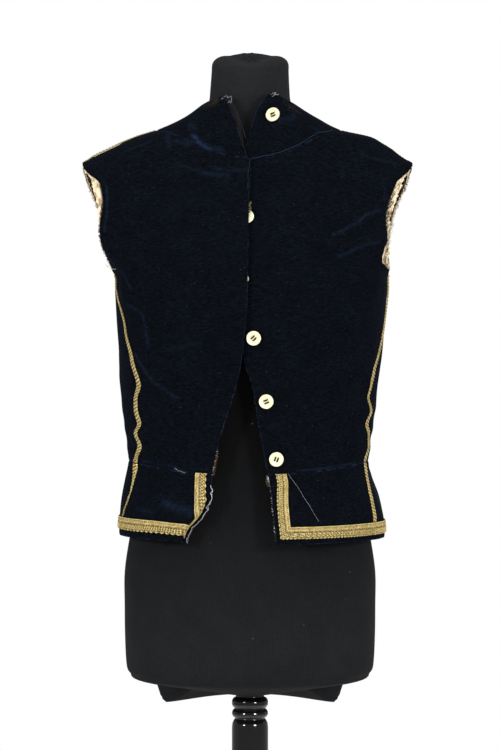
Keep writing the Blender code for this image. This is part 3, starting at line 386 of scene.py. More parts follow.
@dataclass(frozen=True)
class JacketSurface:
    """The surface that every cloth piece of the jacket lies on."""

    hem_right: float = 0.8885
    hem_left: float = 0.8855
    waist: float = 0.982
    armpit: float = 1.217
    underarm_top: float = 1.2336
    side_back_end: float = 1.300
    back_armhole_start: float = 1.3146
    armhole_top: float = 1.3439
    shoulder_tip: float = 1.3585
    neck_seam: float = 1.400
    collar_top: float = 1.432
    seam_gap: float = 0.0003
    lap_angle: float = 48.0
    fold_radius: float = 0.150
    fold_end_strength: float = 0.35
    fold_crest_shift: float = 0.25
    curl_bend_length: float = 0.008
    curl_unbend_length: float = 0.004
    curl_strip_share: float = 0.15
    curl_samples: int = 28
    collar_left_rise: float = 0.0050
    collar_left_span: tuple[float, float] = (-305.0, -340.0)
    crumple_rise: float = 0.00042
    broad_stretch: float = 1.6
    fine_stretch: float = 1.3
    fine_share: float = 0.35
    neck_calm: float = 0.75
    neck_calm_span: tuple[float, float] = (1.350, 1.375)
    rings: tuple[Ring, ...] = table(
        Ring, (0.884, 0.882, 0.882, 0.166, 0.1712, 0.1394, 0.1424, 2.2),
        (0.912, 0.909, 0.911, 0.1655, 0.1695, 0.134, 0.138, 2.2),
        (0.935, 0.931, 0.935, 0.163, 0.1626, 0.129, 0.131, 2.2),
        (0.958, 0.95, 0.959, 0.1585, 0.154, 0.121, 0.117, 2.25),
        (0.982, 0.968, 0.984, 0.154, 0.15, 0.114, 0.105, 2.3),
        (1.005, 0.993, 1.006, 0.1553, 0.1515, 0.1145, 0.104, 2.3),
        (1.04, 1.03, 1.041, 0.1607, 0.1575, 0.119, 0.106, 2.25),
        (1.08, 1.071, 1.081, 0.165, 0.1623, 0.1245, 0.109, 2.25),
        (1.12, 1.111, 1.121, 0.1664, 0.168, 0.129, 0.113, 2.2),
        (1.16, 1.15, 1.162, 0.169, 0.171, 0.1325, 0.117, 2.2),
        (1.198, 1.187, 1.201, 0.171, 0.1745, 0.1335, 0.1205, 2.2),
        (1.217, 1.205, 1.22, 0.1715, 0.1755, 0.133, 0.122, 2.2),
        (1.24, 1.222, 1.243, 0.192, 0.188, 0.1295, 0.1235, 2.15),
        (1.265, 1.24, 1.267, 0.205, 0.196, 0.124, 0.1235, 2.1),
        (1.3, 1.262, 1.3, 0.2115, 0.2, 0.117, 0.121, 2.1),
        (1.335, 1.284, 1.325, 0.213, 0.205, 0.109, 0.115, 2.05),
        (1.3585, 1.299, 1.338, 0.2125, 0.2065, 0.1035, 0.108, 2.0),
        (1.364, 1.308, 1.345, 0.2025, 0.197, 0.1005, 0.106, 2.0),
        (1.3706, 1.317, 1.352, 0.1905, 0.1875, 0.0975, 0.104, 2.0),
        (1.3764, 1.326, 1.362, 0.178, 0.1803, 0.094, 0.1, 2.0),
        (1.384, 1.337, 1.377, 0.162, 0.168, 0.09, 0.094, 2.0, 2.2),
        (1.392, 1.348, 1.392, 0.1448, 0.1525, 0.086, 0.087, 2.0, 2.6),
        (1.4, 1.358, 1.408, 0.1195, 0.1165, 0.082, 0.08, 2.0, 3.2),
        (1.415, 1.394, 1.424, 0.0862, 0.0866, 0.08, 0.074, 2.0, 2.8),
        (1.432, 1.44, 1.444, 0.061, 0.058, 0.078, 0.066, 2.0, 2.0),
    )
    front_edges: tuple[SideRow, ...] = table(
        SideRow, (0.884, -0.047, 0.0323), (0.903, -0.0468, 0.03), (0.93, -0.0468, 0.0272),
        (0.949, -0.0467, 0.0254), (0.965, -0.0462, 0.0222), (0.981, -0.0435, 0.0195),
        (1.013, -0.0367, 0.0138), (1.036, -0.0293, 0.0095), (1.063, -0.0208, 0.005),
        (1.078, -0.0159, 0.002), (1.102, -0.011, -0.006), (1.135, -0.0067, -0.0098),
        (1.169, -0.0037, -0.016), (1.207, -0.0025, -0.0215), (1.243, -0.002, -0.02),
        (1.304, -0.001, -0.016), (1.349, 0.001, -0.0085), (1.361, -0.0037, -0.0085),
        (1.374, -0.0086, -0.0049), (1.395, -0.0148, 0.002), (1.415, -0.0222, 0.009),
        (1.433, -0.0309, 0.0215), (1.443, -0.0335, 0.031),
    )
    armholes: tuple[ArmholeRow, ...] = table(
        ArmholeRow, (1.2245, 0.1715, 0.1765, 0.166, 0.179), (1.237, 0.179, 0.181, 0.1695, 0.179),
        (1.256, 0.186, 0.185, 0.1722, 0.179), (1.274, 0.188, 0.1895, 0.1708, 0.181),
        (1.3, 0.186, 0.1955, 0.1693, 0.187), (1.315, 0.184, 0.201, 0.1722, 0.193),
        (1.331, 0.1855, 0.207, 0.178, 0.2005), (1.344, 0.189, 0.211, 0.185, 0.2045),
        (1.353, 0.199, 0.2128, 0.192, 0.2062),
    )
    seams: tuple[SeamRow, ...] = table(
        SeamRow, (0.886, 79.0, 64.0, 143.0), (0.916, 73.5, 66.5, 143.0), (0.954, 67.5, 71.5, 142.5),
        (0.985, 65.5, 73.8, 142.0), (1.019, 61.0, 71.0, 141.5), (1.045, 58.8, 68.0, 141.0),
        (1.079, 57.0, 67.5, 140.5), (1.118, 61.5, 73.0, 139.5), (1.157, 68.0, 81.5, 138.0),
        (1.198, 78.0, 85.5, 135.5), (1.217, 84.0, 86.0, 133.5), (1.26, 84.0, 86.0, 126.0),
        (1.3, 84.0, 86.0, 117.0),
    )
    folds: tuple[Stroke, ...] = table(
        Stroke, (-66, 1.198, -46, 1.128, 0.013, 0.0035), (-58, 1.176, -36, 1.12, 0.013, -0.002),
        (-57, 1.108, -32, 1.066, 0.012, 0.0032), (-26, 1.33, -4, 1.3, 0.014, 0.0022),
        (-52, 1.3, -30, 1.262, 0.014, 0.0022), (-36, 1.06, -22, 0.99, 0.012, 0.002),
        (54, 1.31, 28, 1.283, 0.012, 0.0036), (56, 1.292, 34, 1.268, 0.011, -0.002),
        (54, 1.276, 31, 1.256, 0.012, 0.0032), (62, 1.196, 44, 1.15, 0.013, 0.0026),
        (48, 1.06, 24, 1.02, 0.012, 0.0022), (-56, 0.997, -104, 0.998, 0.01, 0.0026),
        (-52, 1.02, -100, 1.022, 0.01, 0.003), (-54, 1.045, -96, 1.049, 0.01, 0.0026),
        (58, 0.998, 106, 0.997, 0.01, 0.0028), (60, 1.022, 102, 1.021, 0.01, 0.003),
        (62, 1.048, 96, 1.05, 0.01, 0.0024), (-112, 1.19, -142, 1.12, 0.014, 0.003),
        (114, 1.2, 146, 1.14, 0.014, 0.0028), (-126, 1.28, -156, 1.25, 0.014, 0.0024),
        (128, 1.276, 154, 1.24, 0.014, 0.0022), (-128, 1.012, -172, 1.006, 0.011, 0.0026),
        (126, 1.014, 170, 1.01, 0.011, 0.0028), (-132, 1.04, -168, 1.036, 0.011, 0.002),
        (-40, 0.96, -52, 0.9, 0.016, 0.003), (40, 0.96, 48, 0.9, 0.016, 0.0034),
        (98, 0.96, 100, 0.896, 0.016, 0.004), (-102, 0.96, -106, 0.896, 0.016, 0.004),
        (136, 0.962, 140, 0.894, 0.016, 0.0044), (-138, 0.962, -142, 0.894, 0.016, 0.0044),
        (168, 0.962, 170, 0.894, 0.014, 0.004), (-166, 0.962, -168, 0.894, 0.014, 0.004),
    )
    laps: tuple[LevelRow, ...] = table(
        LevelRow, (0.886, 0.002), (0.982, 0.0025), (1.06, 0.005), (1.12, 0.0072), (1.34, 0.0072),
        (1.4, 0.0066), (1.415, 0.0045), (1.432, 0.0025),
    )
    margins: tuple[SideRow, ...] = table(
        SideRow, (0.884, 0.0072, 0.0056), (0.93, 0.0072, 0.0058), (0.95, 0.0072, 0.007),
        (0.97, 0.0072, 0.01),
    )
    curls: tuple[CurlRow, ...] = table(
        CurlRow, (0.884, 0.044, 0.0125, 121), (0.8925, 0.0438, 0.013, 119), (0.901, 0.0418, 0.013, 117),
        (0.909, 0.037, 0.0122, 114), (0.9165, 0.0288, 0.0112, 110), (0.9245, 0.0218, 0.0098, 104),
        (0.934, 0.017, 0.0086, 96), (0.943, 0.0134, 0.0078, 62), (0.952, 0.01, 0.0076, 0),
    )
    peeks: tuple[LevelRow, ...] = table(
        LevelRow, (1.404, 0.001), (1.42, 0.004), (1.432, 0.0045),
    )
    broad_crumple: ClothNoise = field(default_factory=lambda: ClothNoise(11, 0.022))
    fine_crumple: ClothNoise = field(default_factory=lambda: ClothNoise(12, 0.0095))

    def hem(self, side: Side) -> float:
        """Ring height of one side's hem."""
        return self.hem_right if side is Side.RIGHT else self.hem_left

    def ring_points(self, angles: Array, heights: Array) -> Array:
        """Find points of the plain rings.

        Args:
            angles: Angles in radians.
            heights: Ring heights.

        Returns:
            Points, one for each place.
        """
        angles, heights = np.broadcast_arrays(angles, heights)
        ring = {name: self.measure(name, heights) for name in Ring._fields[1:]}
        return on_rings({**ring, "height": heights}, angles)

    def arc(self, angles: Array, heights: Array, probe: float = 0.01) -> Array:
        """Length walked along the rings for each radian of angle."""
        step = self.ring_points(angles + probe, heights) - self.ring_points(angles - probe, heights)
        return np.linalg.norm(step, axis=-1) / (2 * probe)

    def turn_along(self, angles: Array, heights: Array, length: Any) -> Array:
        """Angles reached by walking a short length round the rings."""
        return angles + length / self.arc(angles, heights)

    def measure(self, name: str, heights: Array) -> Array:
        """One measure of the rings, by the name of Ring's field."""
        return smooth_column(self.rings, heights, name)

    def reaching(self, shares: Array, heights: Array) -> Array:
        """Angles at which the rings reach shares of their half width."""
        return np.arcsin(np.minimum(1.0, shares) ** (self.measure("fullness", heights) / 2.0))

    def angle_across(self, across: Array, heights: Array) -> Array:
        """Angles in front at which the rings cross places along X."""
        width = np.where(across > 0, self.measure("left", heights), self.measure("right", heights))
        return np.copysign(self.reaching(np.abs(across) / width, heights), across)

    def fold_rise(self, angles: Array, heights: Array) -> Array:
        """Add up the folds.

        Args:
            angles: Angles in radians.
            heights: Ring heights.

        Returns:
            How far the cloth rises at each place.
        """
        around = np.degrees(np.arctan2(np.sin(angles), np.cos(angles)))
        total = np.zeros(np.broadcast(angles, heights).shape)
        for fold in self.folds:
            share, squared = beside_stroke(fold, around, heights, self.fold_radius)
            crest = np.sin(np.pi * np.minimum(1.0, share + self.fold_crest_shift))
            strength = self.fold_end_strength + (1 - self.fold_end_strength) * crest
            total += fold.strength * strength * np.exp(-squared / fold.width ** 2)
        return total

    def crumple(self, angles: Array, heights: Array) -> Array:
        """Find the small unevenness of handled velvet, calmer near the neck.

        Args:
            angles: Angles in radians.
            heights: Ring heights.

        Returns:
            How far the cloth rises at each place.
        """
        around = np.mod(angles, 2 * math.pi) * self.fold_radius
        broad = self.broad_crumple.at(around, heights, self.broad_stretch)
        fine = self.fine_crumple.at(around, heights, self.fine_stretch)
        calm = 1.0 - self.neck_calm * smooth_step(*self.neck_calm_span, heights)
        return self.crumple_rise * calm * (broad + self.fine_share * fine)

    def curl(self, angles: Array, heights: Array) -> tuple[Array, Array]:
        """Where the curled corner carries each place.

        Args:
            angles: Angles in radians.
            heights: Ring heights.

        Returns:
            The new angles, and how far in each place moves.
        """
        angles, heights = np.broadcast_arrays(angles, heights)
        first, second, turn = (smooth_column(self.curls, heights, name)
                               for name in ("first", "second", "turn"))
        start = self.turn_along(self.front_edge(Side.RIGHT, heights), heights, -first)
        arc = self.arc(start, heights)
        length = np.maximum((angles - start) * arc, 0.0)
        middles = (np.arange(self.curl_samples) + 0.5) / self.curl_samples
        walked = length[..., None] * middles
        back = (first - second)[..., None]
        turned_in = smooth_step(0.0, self.curl_bend_length, walked)
        turned_out = smooth_step(back, back + self.curl_unbend_length, walked)
        bend = (np.radians(np.maximum(turn, 0.0))[..., None] * turned_in
                * (1 - (1 - self.curl_strip_share) * turned_out))
        along = np.cos(bend).mean(axis=-1) * length
        inward = np.sin(bend).mean(axis=-1) * length
        curled = (heights < self.curls[-1].height) & (length > 0.0)
        curled &= angles > -math.radians(self.lap_angle)
        return np.where(curled, start + along / arc, angles), np.where(curled, inward, 0.0)

    def facing(self, surface: Surface, angles: Array, heights: Array,
               turn: float = 0.004, rise: float = 0.0006) -> Array:
        """Outward directions of a surface.

        Args:
            surface: The surface as a function of angles and heights.
            angles: Angles in radians.
            heights: Ring heights.
            turn: Angle walked each way.
            rise: Height walked each way.

        Returns:
            Unit directions.
        """
        low = np.maximum(heights - rise, self.rings[0].height)
        high = np.minimum(heights + rise, self.collar_top)
        across = surface(angles + turn, heights) - surface(angles - turn, heights)
        up = surface(angles, high) - surface(angles, low)
        outward = np.cross(across, up)
        return outward / np.linalg.norm(outward, axis=-1, keepdims=True)

    def left_surface(self, angles: Array, heights: Array, *more: Array) -> Array:
        """Find points of the jacket as its left side lies, with folds and crumples.

        Args:
            angles: Angles in radians.
            heights: Ring heights.
            more: How much further out each place lies.

        Returns:
            Points, one for each place.
        """
        rise = sum(more, self.fold_rise(angles, heights) + self.crumple(angles, heights))
        outward = self.facing(self.ring_points, angles, heights)
        return self.ring_points(angles, heights) + outward * rise[..., None]

    def right_surface(self, angles: Array, heights: Array) -> Array:
        """Find points of the jacket as its right side and collar lie, lapped and curled.

        Args:
            angles: Angles in radians.
            heights: Ring heights.

        Returns:
            Points, one for each place.
        """
        carried, inward = self.curl(angles, heights)
        lap = smooth_column(self.laps, heights, "value")
        lap = lap * smooth_step(-math.radians(self.lap_angle), 0.0, carried)
        points = self.left_surface(carried, heights, lap, -inward)
        corner = (smooth_step(self.neck_seam, self.collar_top, heights)
                  * smooth_step(*np.radians(self.collar_left_span), carried))
        points[..., 2] += self.collar_left_rise * corner
        return points

    def surface(self, side: Side) -> Surface:
        """The surface on which one side's pieces lie."""
        return self.right_surface if side is Side.RIGHT else self.left_surface

    def front_edge(self, side: Side, heights: Array) -> Array:
        """Angles of a front's edge."""
        across = smooth_column(self.front_edges, self.measure("front_height", heights), side.value)
        return self.angle_across(across, heights)

    def side_seam(self, side: Side, heights: Array) -> Array:
        """Angles of a side seam, without their sign."""
        return np.radians(smooth_column(self.seams, heights, side.value + "_side"))

    def side_back_seam(self, heights: Array) -> Array:
        """Angles of the seams between side backs and backs, without their sign."""
        return np.radians(smooth_column(self.seams, heights, "side_back"))

    def armhole_row(self, side: Side, edge: ArmholeEdge, heights: Array) -> Array:
        """Read an armhole edge from its table.

        Args:
            side: The side of the body.
            edge: The front or back edge.
            heights: Ring heights.

        Returns:
            Angles without their sign.
        """
        across = smooth_column(self.armholes, heights, f"{side.value}_{edge.value}")
        angles = self.reaching(across / self.measure(side.value, heights), heights)
        return angles if edge is ArmholeEdge.FRONT else math.pi - angles

    def eased_row(self, side: Side, edge: ArmholeEdge, heights: Array, seam: Array, low: float,
                  start: float) -> Array:
        """Ease an armhole edge into the seam below it.

        Args:
            side: The side of the body.
            edge: The front or back edge.
            heights: Ring heights.
            seam: The seam's angle where the armhole ends.
            low: Ring height of that end.
            start: Ring height at which the edge follows its table.

        Returns:
            Angles without their sign.
        """
        first = self.armhole_row(side, edge, np.array(start))
        eased = np.clip((heights - low) / (start - low), 0.0, 1.0)
        above = self.armhole_row(side, edge, heights)
        return np.where(heights < start, seam + (first - seam) * eased, above)

    def armhole(self, side: Side, edge: ArmholeEdge, heights: Array) -> Array:
        """Find an armhole edge, eased into the seam below and the shoulder seam.

        Args:
            side: The side of the body.
            edge: The front or back edge.
            heights: Ring heights.

        Returns:
            Angles without their sign.
        """
        low, start = self.armpit, self.underarm_top
        seam = self.side_seam(side, np.array(low))
        if edge is ArmholeEdge.BACK:
            low, start = self.side_back_end, self.back_armhole_start
            seam = self.side_back_seam(np.array(low))
        angles = self.eased_row(side, edge, heights, seam, low, start)
        closed = np.clip((heights - self.armhole_top) / (self.shoulder_tip - self.armhole_top), 0.0, 1.0)
        last = self.armhole_row(side, edge, np.array(self.armhole_top))
        return np.where(heights > self.armhole_top, last + (0.5 * math.pi - last) * closed, angles)

    def underarm_back(self, side: Side, heights: Array) -> Array:
        """Angles of the side back's armhole edge, without their sign."""
        seam = self.side_seam(side, np.array(self.armpit))
        return self.eased_row(side, ArmholeEdge.BACK, heights, seam, self.armpit, self.underarm_top)

    def seamed(self, side: Side, angles: Array, heights: Array, toward: int, sewn: Any = True) -> Array:
        """Signed angles of an edge, which stays half a gap off its neighbour where it is sewn."""
        gap = np.where(sewn, self.seam_gap / 2, 0.0)
        return self.turn_along(side.sign * angles, heights, toward * side.sign * gap)

    def front_outer(self, side: Side, heights: Array) -> Array:
        """Find a front's outer edge, down the armhole and the side seam.

        Args:
            side: The side of the body.
            heights: Ring heights.

        Returns:
            Signed angles.
        """
        hole, low = self.armhole(side, ArmholeEdge.FRONT, heights), heights <= self.armpit
        return self.seamed(side, np.where(low, self.side_seam(side, heights), hole), heights, -1,
                           low | (heights >= self.shoulder_tip))

    def side_back_first(self, side: Side, heights: Array) -> Array:
        """Angles of a side back's edge at the side seam and armhole."""
        hole, low = self.underarm_back(side, heights), heights <= self.armpit
        return self.seamed(side, np.where(low, self.side_seam(side, heights), hole), heights, 1, low)

    def side_back_last(self, side: Side, heights: Array) -> Array:
        """Angles of a side back's edge at the back."""
        return self.seamed(side, self.side_back_seam(heights), heights, -1)

    def back_first(self, side: Side, heights: Array) -> Array:
        """Find a back's outer edge, up the seam, armhole and shoulder.

        Args:
            side: The side of the body.
            heights: Ring heights.

        Returns:
            Signed angles.
        """
        hole, low = self.armhole(side, ArmholeEdge.BACK, heights), heights <= self.side_back_end
        return self.seamed(side, np.where(low, self.side_back_seam(heights), hole), heights, 1,
                           low | (heights >= self.shoulder_tip))

    def back_last(self, side: Side, heights: Array) -> Array:
        """Angles of a back's edge at the middle seam."""
        return self.seamed(side, np.full(np.shape(heights), math.pi), heights, -1)

    def basque_first(self, side: Side, heights: Array) -> Array:
        """Angles of a back basque's edge at the side seam."""
        return self.seamed(side, self.side_seam(side, heights), heights, 1)

    def behind_armhole(self, side: Side, heights: Array) -> Array:
        """Angles of the edge behind an armhole, up the side back and then the back."""
        return np.where(heights <= self.back_armhole_start, self.side_back_first(side, heights),
                        self.back_first(side, heights))

    def collar_angles(self, shares: Array, heights: Array) -> Array:
        """Angles of the collar, from its right end round the back to its left.

        Args:
            shares: Shares along the collar.
            heights: Ring heights.

        Returns:
            Angles in radians, falling to below -360 degrees.
        """
        seam = np.array(self.neck_seam - self.seam_gap / 2)
        right, left = self.front_edge(Side.RIGHT, seam), self.front_edge(Side.LEFT, seam)
        whole = 2 * math.pi
        base = right + (left - whole - right) * shares
        right_shift = self.front_edge(Side.RIGHT, heights) - right
        left_shift = self.front_edge(Side.LEFT, heights) - left
        return (base + right_shift * smooth_step(-0.5 * math.pi, 0.0, base)
                + left_shift * smooth_step(0.5 * math.pi - whole, -whole, base))

    def front_place(self, across: float, up: float, halvings: int = 40) -> tuple[float, float]:
        """Find a place on the front by halving.

        Args:
            across: Its place along X.
            up: Its real height.
            halvings: How often the range of ring heights is halved.

        Returns:
            Its angle and ring height.
        """
        low, high = self.waist, self.collar_top
        for _ in range(halvings):
            height = np.array((low + high) / 2)
            angle = self.angle_across(np.array(across), height)
            if self.ring_points(angle, height)[2] < up:
                low = float(height)
            else:
                high = float(height)
        return float(self.angle_across(np.array(across), np.array(high))), high


class MaterialGraph:
    """Small helper that builds one node material."""

    def __init__(self, name: str) -> None:
        """Start a material with one Principled shader.

        Args:
            name: The material's name.
        """
        self.material = bpy.data.materials.new(name)
        self.material.use_nodes = True
        self.nodes = self.material.node_tree.nodes
        self.links = self.material.node_tree.links
        self.shader = self.nodes["Principled BSDF"]

    def add(self, kind: str, inputs: dict[Any, Any] | None = None, **settings: Any) -> bpy.types.Node:
        """Add a node.

        Args:
            kind: Node type after ShaderNode.
            inputs: Values or sockets for its inputs.
            settings: Properties of the node.

        Returns:
            The new node.
        """
        node = self.nodes.new("ShaderNode" + kind)
        for name, value in settings.items():
            setattr(node, name, value)
        for key, value in (inputs or {}).items():
            self.put(node.inputs[key], value)
        return node

    def put(self, socket: bpy.types.NodeSocket, value: Any) -> None:
        """Give a socket a value or a link.

        Args:
            socket: The socket.
            value: A number, a colour or another socket.
        """
        if isinstance(value, bpy.types.NodeSocket):
            self.links.new(value, socket)
        elif isinstance(value, tuple) and len(value) == 3 and socket.type == "RGBA":
            socket.default_value = (*value, 1.0)
        else:
            socket.default_value = value

    def settings(self, **values: Any) -> None:
        """Set inputs of the Principled shader, with _ for a space."""
        for name, value in values.items():
            self.put(self.shader.inputs[name.replace("_", " ")], value)

    def place(self) -> bpy.types.NodeSocket:
        """Object coordinates."""
        return self.add("TexCoord").outputs["Object"]

    def map(self, name: str) -> bpy.types.NodeSocket:
        """The piece's own UV map."""
        return self.add("UVMap", uv_map=name).outputs["UV"]

    def attribute(self, name: str) -> bpy.types.NodeSocket:
        """A number stored on the piece."""
        return self.add("Attribute", attribute_name=name).outputs["Fac"]

    def noise(self, vector: Any, scale: float, detail: float = 3.0, roughness: float = 0.55) -> Any:
        """Noise from 0 to 1."""
        return self.add("TexNoise", {"Vector": vector, "Scale": scale, "Detail": detail,
                                     "Roughness": roughness}).outputs["Fac"]

    def math(self, operation: str, first: Any, second: Any = 0.0, clamp: bool = False) -> Any:
        """A sum, product or other operation on two numbers."""
        node = self.add("Math", {0: first, 1: second}, operation=operation, use_clamp=clamp)
        return node.outputs[0]

    def between(self, value: Any, low: float, high: float, to_low: float = 0.0, to_high: float = 1.0) -> Any:
        """Clamped remapping of a value."""
        return self.add("MapRange", {"Value": value, "From Min": low, "From Max": high,
                                     "To Min": to_low, "To Max": to_high}).outputs["Result"]

    def cloud(self, vector: Any, scale: float, detail: float, low: float, high: float, to_low: float = 0.0,
              to_high: float = 1.0, roughness: float = 0.55) -> Any:
        """Noise, clamped between two of its levels and remapped."""
        return self.between(self.noise(vector, scale, detail, roughness), low, high, to_low, to_high)

    def blend(self, share: Any, first: Any, second: Any) -> Any:
        """Mix two colours by a share."""
        node = self.add("Mix", {0: share, 6: first, 7: second}, data_type="RGBA")
        return node.outputs[2]

    def lint(self, colour: Any, cloth: Any, scale: float, rarity: float, speck: Colour) -> Any:
        """Scatter specks of lint over a colour.

        Args:
            colour: The cloth's colour.
            cloth: The cloth's own map.
            scale: Cells in a metre, each with one speck at most.
            rarity: Share of the cells that stay clean.
            speck: The lint's colour.

        Returns:
            The speckled colour.
        """
        cells = self.add("TexVoronoi", {"Vector": cloth, "Scale": scale, "Randomness": 1.0})
        drawn = self.add("SeparateColor", {"Color": cells.outputs["Color"]})
        small = self.between(cells.outputs["Distance"], 0.05, 0.085, 1.0, 0.0)
        rare = self.between(drawn.outputs[0], rarity, 1.0)
        return self.blend(self.math("MULTIPLY", small, rare), colour, speck)

    def bump(self, height: Any, strength: float, distance: float) -> None:
        """Roughen the shader's surface by a height."""
        node = self.add("Bump", {"Height": height, "Strength": strength, "Distance": distance})
        self.links.new(node.outputs["Normal"], self.shader.inputs["Normal"])


@dataclass(frozen=True)
class VelvetFinish:
    """Dark navy cotton velvet with a worn, lint flecked pile, and painted pale blue sheen highlights along
    folds, seams and edges.
    """

    deep: Colour = (0.0012, 0.0015, 0.0020)
    lit: Colour = (0.0055, 0.0075, 0.0122)
    sheen_streak: Colour = (0.013, 0.025, 0.055)
    worn: Colour = (0.060, 0.045, 0.022)
    edge: Colour = (0.014, 0.023, 0.052)
    lint: Colour = (0.100, 0.108, 0.112)

    def material(self) -> bpy.types.Material:
        """Build the velvet's material.

        Returns:
            The material.
        """
        graph = MaterialGraph("navy_velvet")
        place = graph.place()
        patches = graph.cloud(place, 32.0, 4.0, 0.30, 0.70, 0.60)
        weft = graph.add("Mapping", {"Vector": place, "Scale": (190.0, 190.0, 640.0)}).outputs["Vector"]
        nap = graph.cloud(weft, 1.0, 3.0, 0.38, 0.70, 0.06, roughness=0.7)
        colour = graph.blend(graph.math("MULTIPLY", patches, nap), self.deep, self.lit)
        uneven = graph.cloud(place, 210.0, 4.0, 0.36, 0.62, 0.10, roughness=0.8)
        # Painted sheen highlight: pale blue along fold crests and seams, where the marks lie.
        sheen_streak = graph.math("MULTIPLY", graph.attribute("sheen_streak"), uneven, True)
        colour = graph.blend(sheen_streak, colour, self.sheen_streak)
        brown = graph.cloud(place, 150.0, 3.0, 0.40, 0.60, roughness=0.7)
        colour = graph.blend(graph.math("MULTIPLY", graph.attribute("worn"), brown, True), colour, self.worn)
        # Along panel edges and seams: worn-down pile, together with a painted pale blue sheen highlight.
        near = graph.between(graph.attribute("edge"), 0.0, 0.0014, 0.8, 0.0)
        rubbed_and_sheen = graph.cloud(place, 150.0, 2.0, 0.44, 0.66, roughness=0.6)
        colour = graph.blend(graph.math("MULTIPLY", near, rubbed_and_sheen, True), colour, self.edge)
        colour = graph.lint(colour, graph.map("cloth"), 210.0, 0.68, self.lint)
        graph.settings(Base_Color=colour, Roughness=0.95, Sheen_Weight=0.022, Sheen_Roughness=0.40,
                       Sheen_Tint=(0.45, 0.58, 0.95, 1.0), Specular_IOR_Level=0.008)
        graph.bump(graph.noise(place, 900.0, 2.0), 0.25, 0.0004)
        return graph.material


@dataclass(frozen=True)
class BraidFinish:
    """Woven gold braid, with a painted pale highlight on its ribs, painted brown shade in its hollows, and
    tarnished in places.
    """

    hollow_shade: Colour = (0.075, 0.042, 0.012)
    gold: Colour = (0.440, 0.315, 0.088)
    pale: Colour = (0.750, 0.640, 0.290)
    tarnished: Colour = (0.190, 0.158, 0.078)

    def material(self) -> bpy.types.Material:
        """Build the braid's material.

        Returns:
            The material.
        """
        graph = MaterialGraph("gold_braid")
        place = graph.place()
        threads = graph.map("cloth")
        weave = graph.add("TexWave", {"Vector": threads, "Scale": 330.0, "Distortion": 1.2,
                                      "Detail": 1.0, "Detail Scale": 2.0},
                          wave_type="BANDS", bands_direction="DIAGONAL").outputs["Fac"]
        level = graph.math("ADD", graph.attribute("rise"), graph.between(weave, 0.0, 1.0, -0.14, 0.14))
        level = graph.math("ADD", level, graph.cloud(place, 520.0, 2.0, 0.3, 0.7, -0.22, 0.22))
        # Painted shade: dark brown where the relief is low, in the hollows of the weave.
        low = graph.blend(graph.between(level, 0.16, 0.70), self.hollow_shade, self.gold)
        # Painted highlight: pale gold on the highest ribs, broken up by noise.
        clean = graph.cloud(place, 120.0, 4.0, 0.36, 0.60, 0.25, roughness=0.7)
        colour = graph.blend(graph.math("MULTIPLY", graph.between(level, 0.42, 0.92), clean), low, self.pale)
        ageing = graph.cloud(place, 55.0, 3.0, 0.56, 0.74, 0.0, 0.20)
        aged = graph.math("ADD", graph.attribute("aged"), ageing, True)
        colour = graph.blend(graph.math("MULTIPLY", aged, 0.85), colour, self.tarnished)
        graph.settings(Base_Color=colour, Roughness=0.50, Metallic=0.05, Specular_IOR_Level=0.18)
        graph.bump(graph.math("ADD", graph.math("MULTIPLY", weave, 0.6), graph.noise(place, 1400.0, 1.0)),
                   0.55, 0.0005)
        return graph.material


@dataclass(frozen=True)
class CottonFinish:
    """Plain woven cotton with stains and an uneven thread."""

    name: str
    clean: Colour
    stained: Colour
    low: float = 0.47
    high: float = 0.60

    def material(self) -> bpy.types.Material:
        """Build the cotton's material.

        Returns:
            The material.
        """
        graph = MaterialGraph(self.name)
        place = graph.place()
        stain = graph.cloud(place, 110.0, 5.0, self.low, self.high, roughness=0.7)
        threads = graph.noise(place, 900.0, 2.0)
        shade = graph.math("MULTIPLY", stain, graph.between(threads, 0.35, 0.65, 0.75, 1.0))
        graph.settings(Base_Color=graph.blend(shade, self.clean, self.stained), Roughness=0.95,
                       Sheen_Weight=0.04, Specular_IOR_Level=0.10)
        graph.bump(threads, 0.6, 0.0006)
        return graph.material


@dataclass(frozen=True)
class IvoryFinish:
    """Glossy ivory buttons, faintly mottled and dirtier in the dish."""

    light: Colour = (0.93, 0.885, 0.60)
    shade: Colour = (0.76, 0.68, 0.41)
    dirt: Colour = (0.30, 0.24, 0.11)

    def material(self) -> bpy.types.Material:
        """Build the button's material.

        Returns:
            The material.
        """
        graph = MaterialGraph("ivory_button")
        place = graph.place()
        cloud = graph.cloud(place, 90.0, 3.0, 0.35, 0.75)
        spots = graph.cloud(place, 500.0, 2.0, 0.35, 0.6)
        grime = graph.math("MULTIPLY", graph.attribute("grime"), spots, True)
        colour = graph.blend(graph.math("MULTIPLY", cloud, 0.6), self.light, self.shade)
        graph.settings(Base_Color=graph.blend(grime, colour, self.dirt), Roughness=0.30,
                       Specular_IOR_Level=0.35, Coat_Weight=0.15, Coat_Roughness=0.12)
        return graph.material


